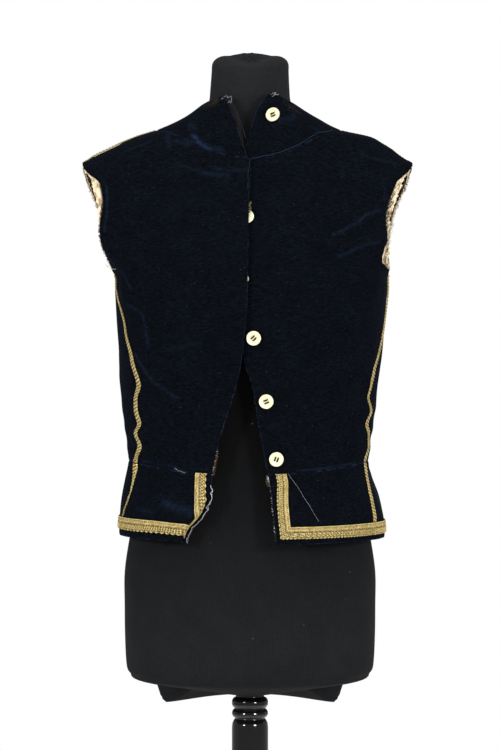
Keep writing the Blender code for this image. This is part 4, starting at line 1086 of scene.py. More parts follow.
@dataclass(frozen=True)
class JerseyFinish:
    """Matt black knit jersey with fine wales, darker under and just below the jacket by a painted shadow,
    and lighter on the bare parts, partly as fading.
    """

    deep: Colour = (0.0034, 0.0036, 0.0039)
    lit: Colour = (0.0210, 0.0220, 0.0240)
    lint: Colour = (0.10, 0.11, 0.115)

    def material(self) -> bpy.types.Material:
        """Build the jersey's material.

        Returns:
            The material.
        """
        graph = MaterialGraph("black_jersey")
        place = graph.place()
        knit = graph.map("cloth")
        wales = graph.add("TexWave", {"Vector": knit, "Scale": 190.0, "Distortion": 0.6, "Detail": 1.0},
                          wave_type="BANDS", bands_direction="X").outputs["Fac"]
        fuzz = graph.noise(place, 420.0, 3.0, 0.6)
        level = graph.math("MULTIPLY", graph.between(fuzz, 0.3, 0.7, 0.55, 1.0),
                           graph.between(wales, 0.0, 1.0, 0.75, 1.0))
        cloudy = graph.cloud(place, 26.0, 4.0, 0.35, 0.65, 0.8, roughness=0.6)
        # Painted shadow: the jersey is darkest under and just below the jacket, lighter on the bare neck and
        # lower body, partly as fading.
        level = graph.math("MULTIPLY", graph.math("MULTIPLY", level, cloudy), graph.attribute("shadow_and_fading"))
        colour = graph.lint(graph.blend(level, self.deep, self.lit), knit, 95.0, 0.86, self.lint)
        graph.settings(Base_Color=colour, Roughness=0.92, Sheen_Weight=0.02, Sheen_Roughness=0.5,
                       Specular_IOR_Level=0.025)
        graph.bump(graph.math("ADD", wales, fuzz), 0.25, 0.0005)
        return graph.material


@dataclass(frozen=True)
class LacquerFinish:
    """Gloss black lacquer on turned wood."""

    colour: Colour = (0.0035, 0.0037, 0.0040)
    hazed: Colour = (0.0050, 0.0052, 0.0055)

    def material(self) -> bpy.types.Material:
        """Build the lacquer's material.

        Returns:
            The material.
        """
        graph = MaterialGraph("black_lacquer")
        place = graph.place()
        dust = graph.cloud(place, 60.0, 4.0, 0.4, 0.8, 0.13, 0.22)
        shade = graph.blend(graph.cloud(place, 14.0, 3.0, 0.4, 0.7), self.colour, self.hazed)
        graph.settings(Base_Color=shade, Roughness=dust, Specular_IOR_Level=0.12,
                       Coat_Weight=0.75, Coat_Roughness=0.035)
        graph.bump(graph.noise(place, 35.0, 2.0), 0.03, 0.0004)
        return graph.material


@dataclass(frozen=True)
class ThreadFinish:
    """Spun sewing thread or frayed yarn of one colour."""

    name: str
    colour: Colour
    shaded: float = 0.55

    def material(self) -> bpy.types.Material:
        """Build the thread's material.

        Returns:
            The material.
        """
        graph = MaterialGraph(self.name)
        fibres = graph.noise(graph.place(), 1500.0, 2.0)
        dark = tuple(value * self.shaded for value in self.colour)
        graph.settings(Base_Color=graph.blend(graph.between(fibres, 0.35, 0.65), dark, self.colour),
                       Roughness=0.85, Sheen_Weight=0.03, Specular_IOR_Level=0.08)
        return graph.material


class Wardrobe:
    """The finishes, each made once."""

    def __init__(self) -> None:
        """Build every material."""
        self.velvet = VelvetFinish().material()
        self.braid = BraidFinish().material()
        self.cotton = CottonFinish("cotton_lining", (0.86, 0.73, 0.51), (0.30, 0.19, 0.080)).material()
        self.brown = CottonFinish("brown_lining", (0.011, 0.007, 0.0055), (0.006, 0.0042, 0.0036)).material()
        self.ivory = IvoryFinish().material()
        self.jersey = JerseyFinish().material()
        self.lacquer = LacquerFinish().material()
        self.yarns = {yarn: ThreadFinish(*yarn.value[:2]).material() for yarn in Yarn}


def finish_piece(name: str, mesh_data: bmesh.types.BMesh, material: bpy.types.Material, slot: str,
                 replaced: Sequence[str], sharp: float) -> bpy.types.Object:
    """Turn a bmesh into a finished piece that rides on the part.

    Args:
        name: The piece's name.
        mesh_data: Its shape, which is freed.
        material: Its finish.
        slot: The record's material slot; not used.
        replaced: The nodes that it stands for.
        sharp: Angle in degrees above which an edge stays sharp.

    Returns:
        The piece's object, at the origin.
    """
    bmesh.ops.recalc_face_normals(mesh_data, faces=mesh_data.faces[:])
    if mesh_data.calc_volume(signed=True) < 0:
        bmesh.ops.reverse_faces(mesh_data, faces=mesh_data.faces[:])
    mesh = bpy.data.meshes.new(name)
    mesh_data.to_mesh(mesh)
    mesh_data.free()
    mesh.materials.append(material)
    mesh.shade_smooth()
    mesh.set_sharp_from_angle(angle=math.radians(sharp))
    piece = bpy.data.objects.new(name, mesh)
    bpy.context.scene.collection.objects.link(piece)
    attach(piece, "root")
    if replaced:
        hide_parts(*replaced)
    LOG.info("%s: %d faces", name, len(mesh.polygons))
    return piece


def walked(points: Array, axis: int) -> Array:
    """Distance walked over a grid of points along one of its axes."""
    steps = np.diff(points, axis=axis, prepend=np.take(points, [0], axis=axis))
    return np.cumsum(np.linalg.norm(steps, axis=-1), axis=axis)


@dataclass
class GridWall:
    """A closed wall of cloth on a grid, from its outer and inner points."""

    name: str
    outer: Array
    inner: Array
    marks: dict[str, Array] = field(default_factory=dict)

    def build(self) -> bmesh.types.BMesh:
        """Shape the wall.

        Returns:
            A closed bmesh with its map and marks.
        """
        rows, columns = self.outer.shape[:2]
        mesh_data = bmesh.new()
        bmesh.ops.create_grid(mesh_data, x_segments=columns - 1, y_segments=rows - 1, size=0.5,
                              calc_uvs=False)
        extruded = bmesh.ops.extrude_face_region(mesh_data, geom=mesh_data.faces[:])["geom"]
        mesh_data.verts.index_update()
        inside = {item.index for item in extruded if isinstance(item, bmesh.types.BMVert)}
        layers = {key: mesh_data.verts.layers.float.new(key) for key in self.marks}
        grid_map = mesh_data.loops.layers.uv.new("cloth")
        across, up = walked(self.outer, 1), walked(self.outer, 0)
        cells: list[tuple[int, int]] = []
        for corner in mesh_data.verts:
            column = round((corner.co.x + 0.5) * (columns - 1))
            row = round((corner.co.y + 0.5) * (rows - 1))
            cells.append((row, column))
            corner.co = (self.inner if corner.index in inside else self.outer)[row, column]
            for key, layer in layers.items():
                corner[layer] = float(self.marks[key][row, column])
        for face in mesh_data.faces:
            for loop in face.loops:
                cell = cells[loop.vert.index]
                loop[grid_map].uv = (across[cell], up[cell])
        return mesh_data


@dataclass
class VelvetPanels:
    """The velvet of the jacket: bodice panels, basque panels and collar."""

    jacket: JacketSurface
    wardrobe: Wardrobe
    thickness: float = 0.0020
    collar_thickness: float = 0.0025
    step: float = 0.0025
    back_step: float = 0.0036
    roll_depth: float = 0.0007
    roll_width: float = 0.0016
    edge_wave: float = 0.0012
    under_gap: float = 0.0009
    wave_cell: float = 0.0060
    wave_seed: int = 61
    sheen_streak_width: float = 0.75
    mark_reach: float = 0.01
    raw_rise: float = 0.004
    raw_fall: float = 0.006
    sharp: float = 60.0
    panel_widths: tuple[float, ...] = (0.205, 0.125, 0.170, 0.150, 0.300)
    collar_ends: tuple[tuple[float, ...], ...] = ((0.0, 0.012, 0.03), (0.972, 0.989, 1.0))
    inner_roll: float = 0.3
    flat_slack: float = 0.999
    shoulder_rows: int = 27
    neck_rows: tuple[float, float] = (0.0008, 0.0003)
    collar_rows: tuple[int, float] = (19, 0.560)
    # Painted sheen highlights: pale blue lines and bands over fold crests, seams and edges of the velvet.
    streaks: tuple[Stroke, ...] = table(
        Stroke, (-41, 1.4046, -31, 1.4008, 0.0016, 1.0), (-31, 1.4008, -24, 1.4004, 0.0018, 1.0),
        (-24, 1.4004, -17, 1.4022, 0.0014, 0.6), (-47, 1.3968, -36, 1.3982, 0.0014, 0.4),
        (-54, 1.4108, -42, 1.4084, 0.0016, 0.4), (-57, 1.399, -44, 1.3925, 0.0018, 0.3),
        (-17, 1.3858, -1, 1.3863, 0.0015, 0.35), (-20, 1.38, -9, 1.381, 0.0022, 0.4),
        (-34, 1.3835, -20, 1.3805, 0.0018, 0.22), (-66, 1.379, -58, 1.391, 0.0018, 0.4),
        (-59, 1.35, -56.5, 1.34, 0.0016, 0.5), (-56.5, 1.34, -56, 1.303, 0.002, 0.6),
        (-56, 1.303, -60, 1.276, 0.0018, 0.5), (-65, 1.245, -69, 1.225, 0.0018, 0.6),
        (-69, 1.225, -58, 1.2, 0.0022, 0.4), (-61, 1.18, -50, 1.17, 0.0024, 0.35),
        (-50, 1.17, -47, 1.132, 0.0024, 0.4), (-57, 1.119, -44, 1.088, 0.0026, 0.35),
        (-44, 1.088, -30, 1.069, 0.0028, 0.3), (-36, 1.126, -19, 1.138, 0.003, 0.18),
        (51.7, 1.3097, 44.3, 1.309, 0.0022, 0.45), (44.3, 1.309, 40.0, 1.299, 0.0024, 0.55),
        (40.0, 1.299, 30.0, 1.288, 0.003, 0.5), (54.0, 1.264, 44.0, 1.262, 0.0026, 0.3),
        (44.0, 1.262, 33.0, 1.25, 0.003, 0.35), (50.2, 1.4085, 53.1, 1.4045, 0.0016, 0.4),
        (25.0, 1.417, 33.0, 1.4172, 0.0016, 0.45), (33.0, 1.4172, 46.0, 1.419, 0.0016, 0.4),
        (53.3, 1.3815, 68.6, 1.3622, 0.002, 0.3), (54.8, 1.355, 54.4, 1.324, 0.0018, 0.3),
        (-58, 0.9878, -38, 0.9885, 0.0014, 0.45), (-38, 0.9885, -28, 0.98, 0.0014, 0.4),
        (20.0, 0.985, 59.0, 0.984, 0.0014, 0.45), (-58, 0.925, -44, 0.923, 0.004, 0.2),
        (-37.5, 0.9349, -24.0, 0.9253, 0.008, 0.38), (-33.5, 0.9854, -27.9, 0.98, 0.003, 0.35),
    )
    worn_places: tuple[Stroke, ...] = table(
        Stroke, (-61, 1.4293, -38, 1.4293, 0.0036, 0.35), (41, 1.4265, 58, 1.4225, 0.0034, 0.25),
        (-11.3, 1.004, -12.7, 0.994, 0.0022, 0.9), (-12.7, 0.994, -14.0, 0.975, 0.002, 0.8),
    )
    notches: tuple[SideRow, ...] = table(
        SideRow, (1.217, 0.0, 0.0), (1.223, 0.0004, 0.003), (1.228, 0.0008, 0.0078),
        (1.24, 0.0004, 0.0084), (1.252, 0.001, 0.0064), (1.262, 0.0002, 0.0014), (1.27, 0.0, 0.0),
        (1.3585, 0.0, 0.0),
    )

    def rows(self, low: float, high: float, step: float) -> Array:
        """Space a panel's rows, closer together over the shoulders.

        Args:
            low: Ring height of its lower edge.
            high: Ring height of its upper edge.
            step: Usual distance between two rows.

        Returns:
            Ring heights of the rows.
        """
        shoulder = self.jacket.shoulder_tip
        lower = low + (min(high, shoulder) - low) * dense_shares(min(high, shoulder) - low, step)
        if high <= shoulder:
            return lower
        upper = shoulder + (high - shoulder) * np.linspace(0.0, 1.0, self.shoulder_rows)
        return np.concatenate((lower[:-3], upper[:-1], [high - drop for drop in self.neck_rows], [high]))

    def nearness(self, marks: Sequence[Stroke], angles: Array, heights: Array) -> Array:
        """Find the strongest mark at each place.

        Args:
            marks: The marks.
            angles: Angles of the grid.
            heights: Ring heights of the grid.

        Returns:
            Its strength from 0 to 1.
        """
        around = np.degrees(np.arctan2(np.sin(angles), np.cos(angles)))
        total = np.zeros(angles.shape)
        for mark in marks:
            squared = beside_stroke(mark, around, heights, self.jacket.fold_radius)[1]
            near = np.exp(-squared / (mark.width * self.sheen_streak_width) ** 2)
            total = np.maximum(total, mark.strength * near)
        return total

    def panel(self, name: str, surface: Surface, angles: Array, heights: Array, thickness: float) -> None:
        """Build one velvet panel.

        Args:
            name: The node that it stands for.
            surface: The surface that it lies on.
            angles: Angles of its grid.
            heights: Ring heights of its grid.
            thickness: Thickness of the cloth.
        """
        points = surface(angles, heights)
        outward = self.jacket.facing(surface, angles, heights)
        across, up = walked(points, 1), walked(points, 0)
        edge = np.minimum(np.minimum(across, across[:, -1:] - across), np.minimum(up, up[-1:] - up))
        roll = self.roll_depth * np.exp(-(edge / self.roll_width) ** 2)
        outer = points - outward * roll[..., None]
        inner = points - outward * (thickness - self.inner_roll * roll)[..., None]
        wall = GridWall(name + "_velvet", outer, inner, {
            "sheen_streak": self.nearness(self.streaks, angles, heights),
            "worn": self.nearness(self.worn_places, angles, heights),
            "edge": np.minimum(edge, self.mark_reach),
        })
        piece = finish_piece(wall.name, wall.build(), self.wardrobe.velvet, "velvet", (name,), self.sharp)

    def worn_edge(self, side: Side, heights: Array, angles: Array, inward: int) -> Array:
        """Wear an armhole edge back, wavy along its raw part.

        Args:
            side: The side of the body.
            heights: Ring heights.
            angles: The edge as it was cut.
            inward: Sign of the turn that leads into the cloth.

        Returns:
            Angles in radians.
        """
        jacket = self.jacket
        raw = (smooth_step(jacket.armpit, jacket.armpit + self.raw_rise, heights)
               * (1 - smooth_step(jacket.shoulder_tip - self.raw_fall, jacket.shoulder_tip, heights)))
        notch = smooth_column(self.notches, heights, side.value) * (1 if inward == -side.sign else 0)
        wave = self.edge_wave * ClothNoise(self.wave_seed + inward, self.wave_cell).up(heights)
        return jacket.turn_along(angles, heights, inward * raw * (np.maximum(notch, 0.0) + wave))

    def front_last(self, side: Side, heights: Array) -> Array:
        """Angles of a front's outer edge, as it is worn."""
        return self.worn_edge(side, heights, self.jacket.front_outer(side, heights), -side.sign)

    def side_back_start(self, side: Side, heights: Array) -> Array:
        """Angles of a side back's armhole edge, as it is worn."""
        return self.worn_edge(side, heights, self.jacket.side_back_first(side, heights), side.sign)

    def back_start(self, side: Side, heights: Array) -> Array:
        """Angles of a back's armhole edge, as it is worn."""
        cut, raw = self.jacket.back_first(side, heights), heights > self.jacket.back_armhole_start
        return np.where(raw, self.worn_edge(side, heights, cut, side.sign), cut)

    def build_side(self, side: Side) -> None:
        """Build the five velvet panels of one side.

        Args:
            side: The side of the body.
        """
        jacket, fine, plain = self.jacket, self.step, self.back_step
        half_gap = jacket.seam_gap / 2
        bodice = (jacket.waist + half_gap, jacket.neck_seam - half_gap)
        under = (bodice[0], jacket.side_back_end - self.under_gap)
        basque = (jacket.hem(side), jacket.waist - half_gap)
        corner = jacket.back_armhole_start - jacket.side_back_end
        cuts: tuple[tuple[str, tuple[float, float], Callable, Callable, float, float], ...] = (
            ("front", bodice, jacket.front_edge, self.front_last, fine, 0),
            ("side_back", under, self.side_back_start, jacket.side_back_last, plain, corner),
            ("back", bodice, self.back_start, jacket.back_last, plain, 0),
            ("basque_front", basque, jacket.front_edge, jacket.front_outer, fine, 0),
            ("basque_back", basque, jacket.basque_first, jacket.back_last, plain, 0),
        )
        for width, (name, span, first, last, step, rise) in zip(self.panel_widths, cuts):
            rows = self.rows(*span, step)[:, None]
            shares = dense_shares(width, step)[None, :]
            heights = rows + rise * (1 - shares) * ((rows - rows[0]) / (rows[-1] - rows[0]))
            start, end = first(side, heights), last(side, heights)
            angles = start + (end - start) * shares
            self.panel(f"{side.value}_{name}", jacket.surface(side), angles, heights, self.thickness)

    def build_collar(self) -> None:
        """Build the funnel collar."""
        jacket = self.jacket
        count, length = self.collar_rows
        first, last = self.collar_ends
        rows = np.concatenate((first, np.linspace(0.0, 1.0, count)[1:-1], last))
        low = jacket.neck_seam + jacket.seam_gap / 2
        rows = low + rows * (jacket.collar_top - jacket.neck_seam - jacket.seam_gap / 2)
        shares = dense_shares(length, self.step)
        heights = np.broadcast_to(rows[:, None], (len(rows), len(shares)))
        angles = jacket.collar_angles(shares[None, :], heights)
        self.panel("collar", jacket.right_surface, angles, heights, self.collar_thickness)

    def build(self) -> None:
        """Build every velvet panel."""
        for side in Side:
            self.build_side(side)
        self.build_collar()


@dataclass
class GoldBraid:
    """The woven gold braid along the hem, fronts, side seams and shoulders."""

    jacket: JacketSurface
    wardrobe: Wardrobe
    hem_width: float = 0.0150
    front_width: float = 0.0145
    shoulder_width: float = 0.0100
    hem_margin: float = 0.0065
    layer_gap: float = 0.0005
    thickness: float = 0.0010
    relief: float = 0.0009
    right_pitch: float = 0.0074
    left_pitch: float = 0.0046
    scallop_share: float = 0.085
    narrow_pitch: float = 0.0088
    step: float = 0.0008
    wide_rows: int = 27
    narrow_rows: int = 15
    shoulder_rows: int = 17
    shoulder_columns: int = 150
    front_columns: int = 150
    back_columns: int = 330
    edge_round: float = 0.0006
    edge_height: float = 0.0004
    edge_drop: float = 0.7
    scallop_start: float = 0.80
    sharp: float = 80.0
    front_lift_span: tuple[float, float] = (0.05, 0.45)
    back_lift_span: tuple[float, float] = (0.30, 0.95)
    side_noise: tuple[int, float] = (91, 0.007)
    shoulder_noise: tuple[int, float] = (95, 0.008)
    waist_gap: float = 0.0010
    flat_slack: float = 0.999
    side_worn: float = 0.30
    shoulder_worn: float = 0.55
    cord_width: float = 0.048
    zigzag_middle: float = 0.68
    zigzag_swing: float = 0.19
    zigzag_width: float = 0.062
    loop_place: tuple[float, float] = (0.95, 0.05)
    loop_heights: tuple[float, float] = (0.35, 0.65)
    narrow_edge: tuple[float, float, float] = (0.06, 0.08, 0.7)
    slant: float = 0.45
    strand_width: float = 0.13
    cords: tuple[tuple[float, float], ...] = ((0.05, 1.0), (0.17, 0.72), (0.28, 0.92), (0.38, 0.60))
    end_gap: float = 0.0008
    least_flat_width: float = 0.0101
    right_hem_lift: float = 0.0024
    shoulder_shift_left: float = 0.0082
    shoulder_roll_right: float = 0.0124
    shoulder_tip_right: float = 0.0030
    shoulder_roll_span: tuple[float, ...] = (1.3610, 1.3680, 1.3800, 1.3910)
    shoulder_wobble: float = 0.0010
    side_wobble: float = 0.0006
    right_side_rows: tuple[BraidRow, ...] = table(
        BraidRow, (0.907, -74.5, 0.0007), (0.918, -71.4, 0.0007), (0.9281, -68.5, 0.0008),
        (0.9514, -64.9, 0.0014), (0.964, -65.0, 0.0046), (0.974, -65.6, 0.01), (0.9837, -66.0, 0.0104),
        (0.9892, -64.0, 0.0072), (1.0039, -58.8, 0.007), (1.0197, -60.3, 0.0052), (1.0334, -56.8, 0.0066),
        (1.0616, -57.8, 0.006), (1.0818, -54.2, 0.007), (1.111, -58.9, 0.0066), (1.1354, -64.2, 0.0042),
        (1.1639, -67.4, 0.0033), (1.1886, -74.0, 0.0026), (1.199, -77.0, 0.0024), (1.217, -82.6, 0.0024),
    )
    left_side_rows: tuple[BraidRow, ...] = table(
        BraidRow, (0.905, 63.7, 0.0066), (0.9346, 67.2, 0.0062), (0.9607, 71.4, 0.006),
        (0.9799, 71.6, 0.0064), (0.9912, 71.7, 0.0054), (1.008, 73.6, 0.0044), (1.0286, 66.0, 0.0068),
        (1.0441, 68.6, 0.0052), (1.0633, 64.4, 0.0036), (1.0777, 66.4, 0.0046), (1.101, 68.7, 0.006),
        (1.1371, 77.0, 0.0058), (1.1742, 83.5, 0.004), (1.2119, 84.8, 0.0034), (1.217, 85.0, 0.0034),
    )

    def wide_pattern(self, along: Array, across: Array, pitch: float) -> Array:
        """Find the relief of the wide braid: cords, a groove, then crossing zigzags and loops.

        Args:
            along: Distances along it.
            across: Shares across it.
            pitch: Length of one zigzag.

        Returns:
            The relief from 0 to 1 at each place.
        """
        ribs = np.zeros(np.broadcast(along, across).shape)
        for centre, height in self.cords:
            ribs = np.maximum(ribs, height * np.exp(-((across - centre) / self.cord_width) ** 2))
        swing = self.zigzag_swing * (4 * np.abs(np.mod(along / pitch, 1.0) - 0.5) - 1)
        for sign in (-1, 1):
            beside = across - self.zigzag_middle - sign * swing
            ribs = np.maximum(ribs, np.exp(-(beside / self.zigzag_width) ** 2))
        loops = 0.5 + 0.5 * np.cos(2 * math.pi * along / pitch)
        (middle, width), (low, swell) = self.loop_place, self.loop_heights
        return np.maximum(ribs, (low + swell * loops) * np.exp(-((across - middle) / width) ** 2))

    def narrow_pattern(self, along: Array, across: Array) -> Array:
        """Find the relief of the narrow braid: slanting strands between two edges.

        Args:
            along: Distances along it.
            across: Shares across it.

        Returns:
            The relief from 0 to 1 at each place.
        """
        ribs = np.zeros(np.broadcast(along, across).shape)
        for shift in (0.0, 0.5):
            phase = np.mod(along / self.narrow_pitch + shift - self.slant * across, 1.0)
            ribs = np.maximum(ribs, np.exp(-((phase - 0.5) / self.strand_width) ** 2))
        inset, width, height = self.narrow_edge
        edges = np.exp(-((across - inset) / width) ** 2) + np.exp(-((across - (1 - inset)) / width) ** 2)
        return np.maximum(ribs, height * edges)

    def strip(self, side: Side, name: str, angles: Array, heights: Array, across: Array, width: float,
              pitch: float = 0.0, aged: float = 0.0) -> None:
        """Build one run of braid.

        Args:
            side: The side of the body.
            name: The node that it stands for, without its side.
            angles: Angles of its grid, with the braid's length along the columns.
            heights: Ring heights of its grid.
            across: Shares across the braid for each row.
            width: Its width in metres.
            pitch: Zigzag of the wide braid and its scalloped edge, or 0 for the narrow braid.
            aged: How tarnished it is, from 0 to 1.
        """
        heights = np.broadcast_to(heights, angles.shape)
        surface = self.jacket.surface(side)
        points, outward = surface(angles, heights), self.jacket.facing(surface, angles, heights)
        along = walked(points[points.shape[0] // 2], 0)
        if pitch:
            sideways = points[-1] - points[-4]
            sideways = sideways / np.linalg.norm(sideways, axis=-1, keepdims=True)
            teeth = self.scallop_share * pitch * np.cos(2 * math.pi * along / pitch)
            share = smooth_step(self.scallop_start, 1.0, across)
            points = points + sideways[None] * (teeth[None, :] * share[:, None])[..., None]
            rise = self.wide_pattern(along[None, :], across[:, None], pitch)
        else:
            rise = self.narrow_pattern(along[None, :], across[:, None])
        ends = np.minimum(along, along[-1] - along)[None, :]
        edge = np.minimum(ends, np.minimum(across, 1 - across)[:, None] * width)
        soft = 1 - self.edge_drop * np.exp(-(edge / self.edge_round) ** 2)
        lift = (self.layer_gap + (self.thickness - self.edge_height + self.relief * rise) * soft
                + self.edge_height)
        node = f"{side.value}_{name}"
        wall = GridWall(node + "_trim", points + outward * lift[..., None],
                        points + outward * self.layer_gap,
                        {"rise": rise, "aged": np.full(rise.shape, aged)})
        piece = finish_piece(wall.name, wall.build(), self.wardrobe.braid, "gold_braid", (node,),
                             self.sharp)
        flat_width = max(width, self.least_flat_width)

    def pitch(self, side: Side) -> float:
        """Length of one zigzag of the wide braid of one side."""
        return self.right_pitch if side is Side.RIGHT else self.left_pitch

    def hem_lift(self, side: Side) -> float:
        """How much higher than its margin the hem braid of one side runs."""
        return self.right_hem_lift if side is Side.RIGHT else 0.0

    def front_hem(self, side: Side) -> None:
        """Build the braid that runs down a front's basque edge and along its hem.

        Args:
            side: The side of the body.
        """
        jacket = self.jacket
        hem, top = jacket.hem(side), jacket.waist - jacket.seam_gap / 2
        across = np.linspace(0.0, 1.0, self.wide_rows)
        inset = (1.0 - across)[:, None]
        corner = hem + self.hem_margin + inset * self.hem_width
        down = np.linspace(0.0, 1.0, round((top - hem) / self.step))[None, :]
        upright_heights = top + (corner - top) * down
        margin = smooth_column(jacket.margins, upright_heights, side.value)
        edge = jacket.front_edge(side, upright_heights)
        upright = jacket.turn_along(edge, upright_heights, side.sign * (margin + inset * self.front_width))
        run = np.linspace(0.0, 1.0, self.front_columns)[None, 1:]
        lifted = self.hem_lift(side) * smooth_step(*self.front_lift_span, run)
        level_heights = np.broadcast_to(corner, (len(across), run.shape[1])) + lifted
        last = jacket.front_outer(side, corner)
        level = upright[:, -1:] + (last - upright[:, -1:]) * run
        heights = np.concatenate((upright_heights, level_heights), axis=1)
        angles = np.concatenate((upright, level), axis=1)
        self.strip(side, "front_hem_braid", angles, heights, across, self.hem_width,
                   self.pitch(side))

    def back_hem(self, side: Side) -> None:
        """Build the braid along a back basque's hem.

        Args:
            side: The side of the body.
        """
        jacket = self.jacket
        across = np.linspace(0.0, 1.0, self.wide_rows)
        rows = (jacket.hem(side) + self.hem_margin + (1 - across) * self.hem_width)[:, None]
        start, end = jacket.basque_first(side, rows), jacket.back_last(side, rows)
        run = np.linspace(0.0, 1.0, self.back_columns)[None, :]
        angles = start + (end - start) * run
        heights = rows + self.hem_lift(side) * (1 - smooth_step(*self.back_lift_span, run))
        self.strip(side, "back_hem_braid", angles, heights, across, self.hem_width,
                   self.pitch(side))

    def side_run(self, side: Side, name: str, low: float, high: float) -> None:
        """Build a narrow, puckered braid beside a side seam.

        Args:
            side: The side of the body.
            name: The node's name without its side.
            low: Ring height of its lower end.
            high: Ring height of its upper end.
        """
        jacket = self.jacket
        rows = self.right_side_rows if side is Side.RIGHT else self.left_side_rows
        across = np.linspace(0.0, 1.0, self.narrow_rows)
        heights = np.linspace(high, low, round((high - low) / self.step))[None, :]
        widths = smooth_column(rows, heights, "width")
        seed, cell = self.side_noise
        wobble = self.side_wobble * ClothNoise(seed + side.sign, cell).up(heights)
        middle = jacket.turn_along(np.radians(smooth_column(rows, heights, "angle")), heights, wobble)
        angles = jacket.turn_along(middle, heights, side.sign * (across[:, None] - 0.5) * widths)
        worn = self.side_worn if name == "side_braid" else 0.0
        self.strip(side, name, angles, heights, across, float(widths.max()), aged=worn)

    def shoulder(self, side: Side) -> None:
        """Build the tarnished braid along a shoulder seam, which rolls forward on the right.

        Args:
            side: The side of the body.
        """
        jacket = self.jacket
        across = np.linspace(0.0, 1.0, self.shoulder_rows)
        heights = np.linspace(jacket.shoulder_tip, jacket.neck_seam - jacket.seam_gap / 2,
                              self.shoulder_columns)[None, :]
        seed, cell = self.shoulder_noise
        wobble = self.shoulder_wobble * ClothNoise(seed + side.sign, cell).up(heights)
        low, full, ebbing, high = self.shoulder_roll_span
        rolled = smooth_step(low, full, heights) * (1 - smooth_step(ebbing, high, heights))
        right = self.shoulder_tip_right * (1 - rolled) - self.shoulder_roll_right * rolled
        shift = wobble + (self.shoulder_shift_left if side is Side.LEFT else right)
        first = jacket.turn_along(jacket.back_first(side, heights), heights, side.sign * shift)
        second = jacket.turn_along(first, heights, side.sign * self.shoulder_width)
        angles = first + (second - first) * across[:, None]
        self.strip(side, "shoulder_braid", angles, heights, across, self.shoulder_width,
                   aged=self.shoulder_worn)

    def build(self) -> None:
        """Build every run of braid."""
        jacket = self.jacket
        for side in Side:
            self.front_hem(side)
            self.back_hem(side)
            self.side_run(side, "side_braid", jacket.waist + self.waist_gap, jacket.armpit)
            low = jacket.hem(side) + self.hem_margin + self.hem_width + self.end_gap + self.hem_lift(side)
            self.side_run(side, "basque_side_braid", low, jacket.waist - jacket.seam_gap / 2)
            self.shoulder(side)


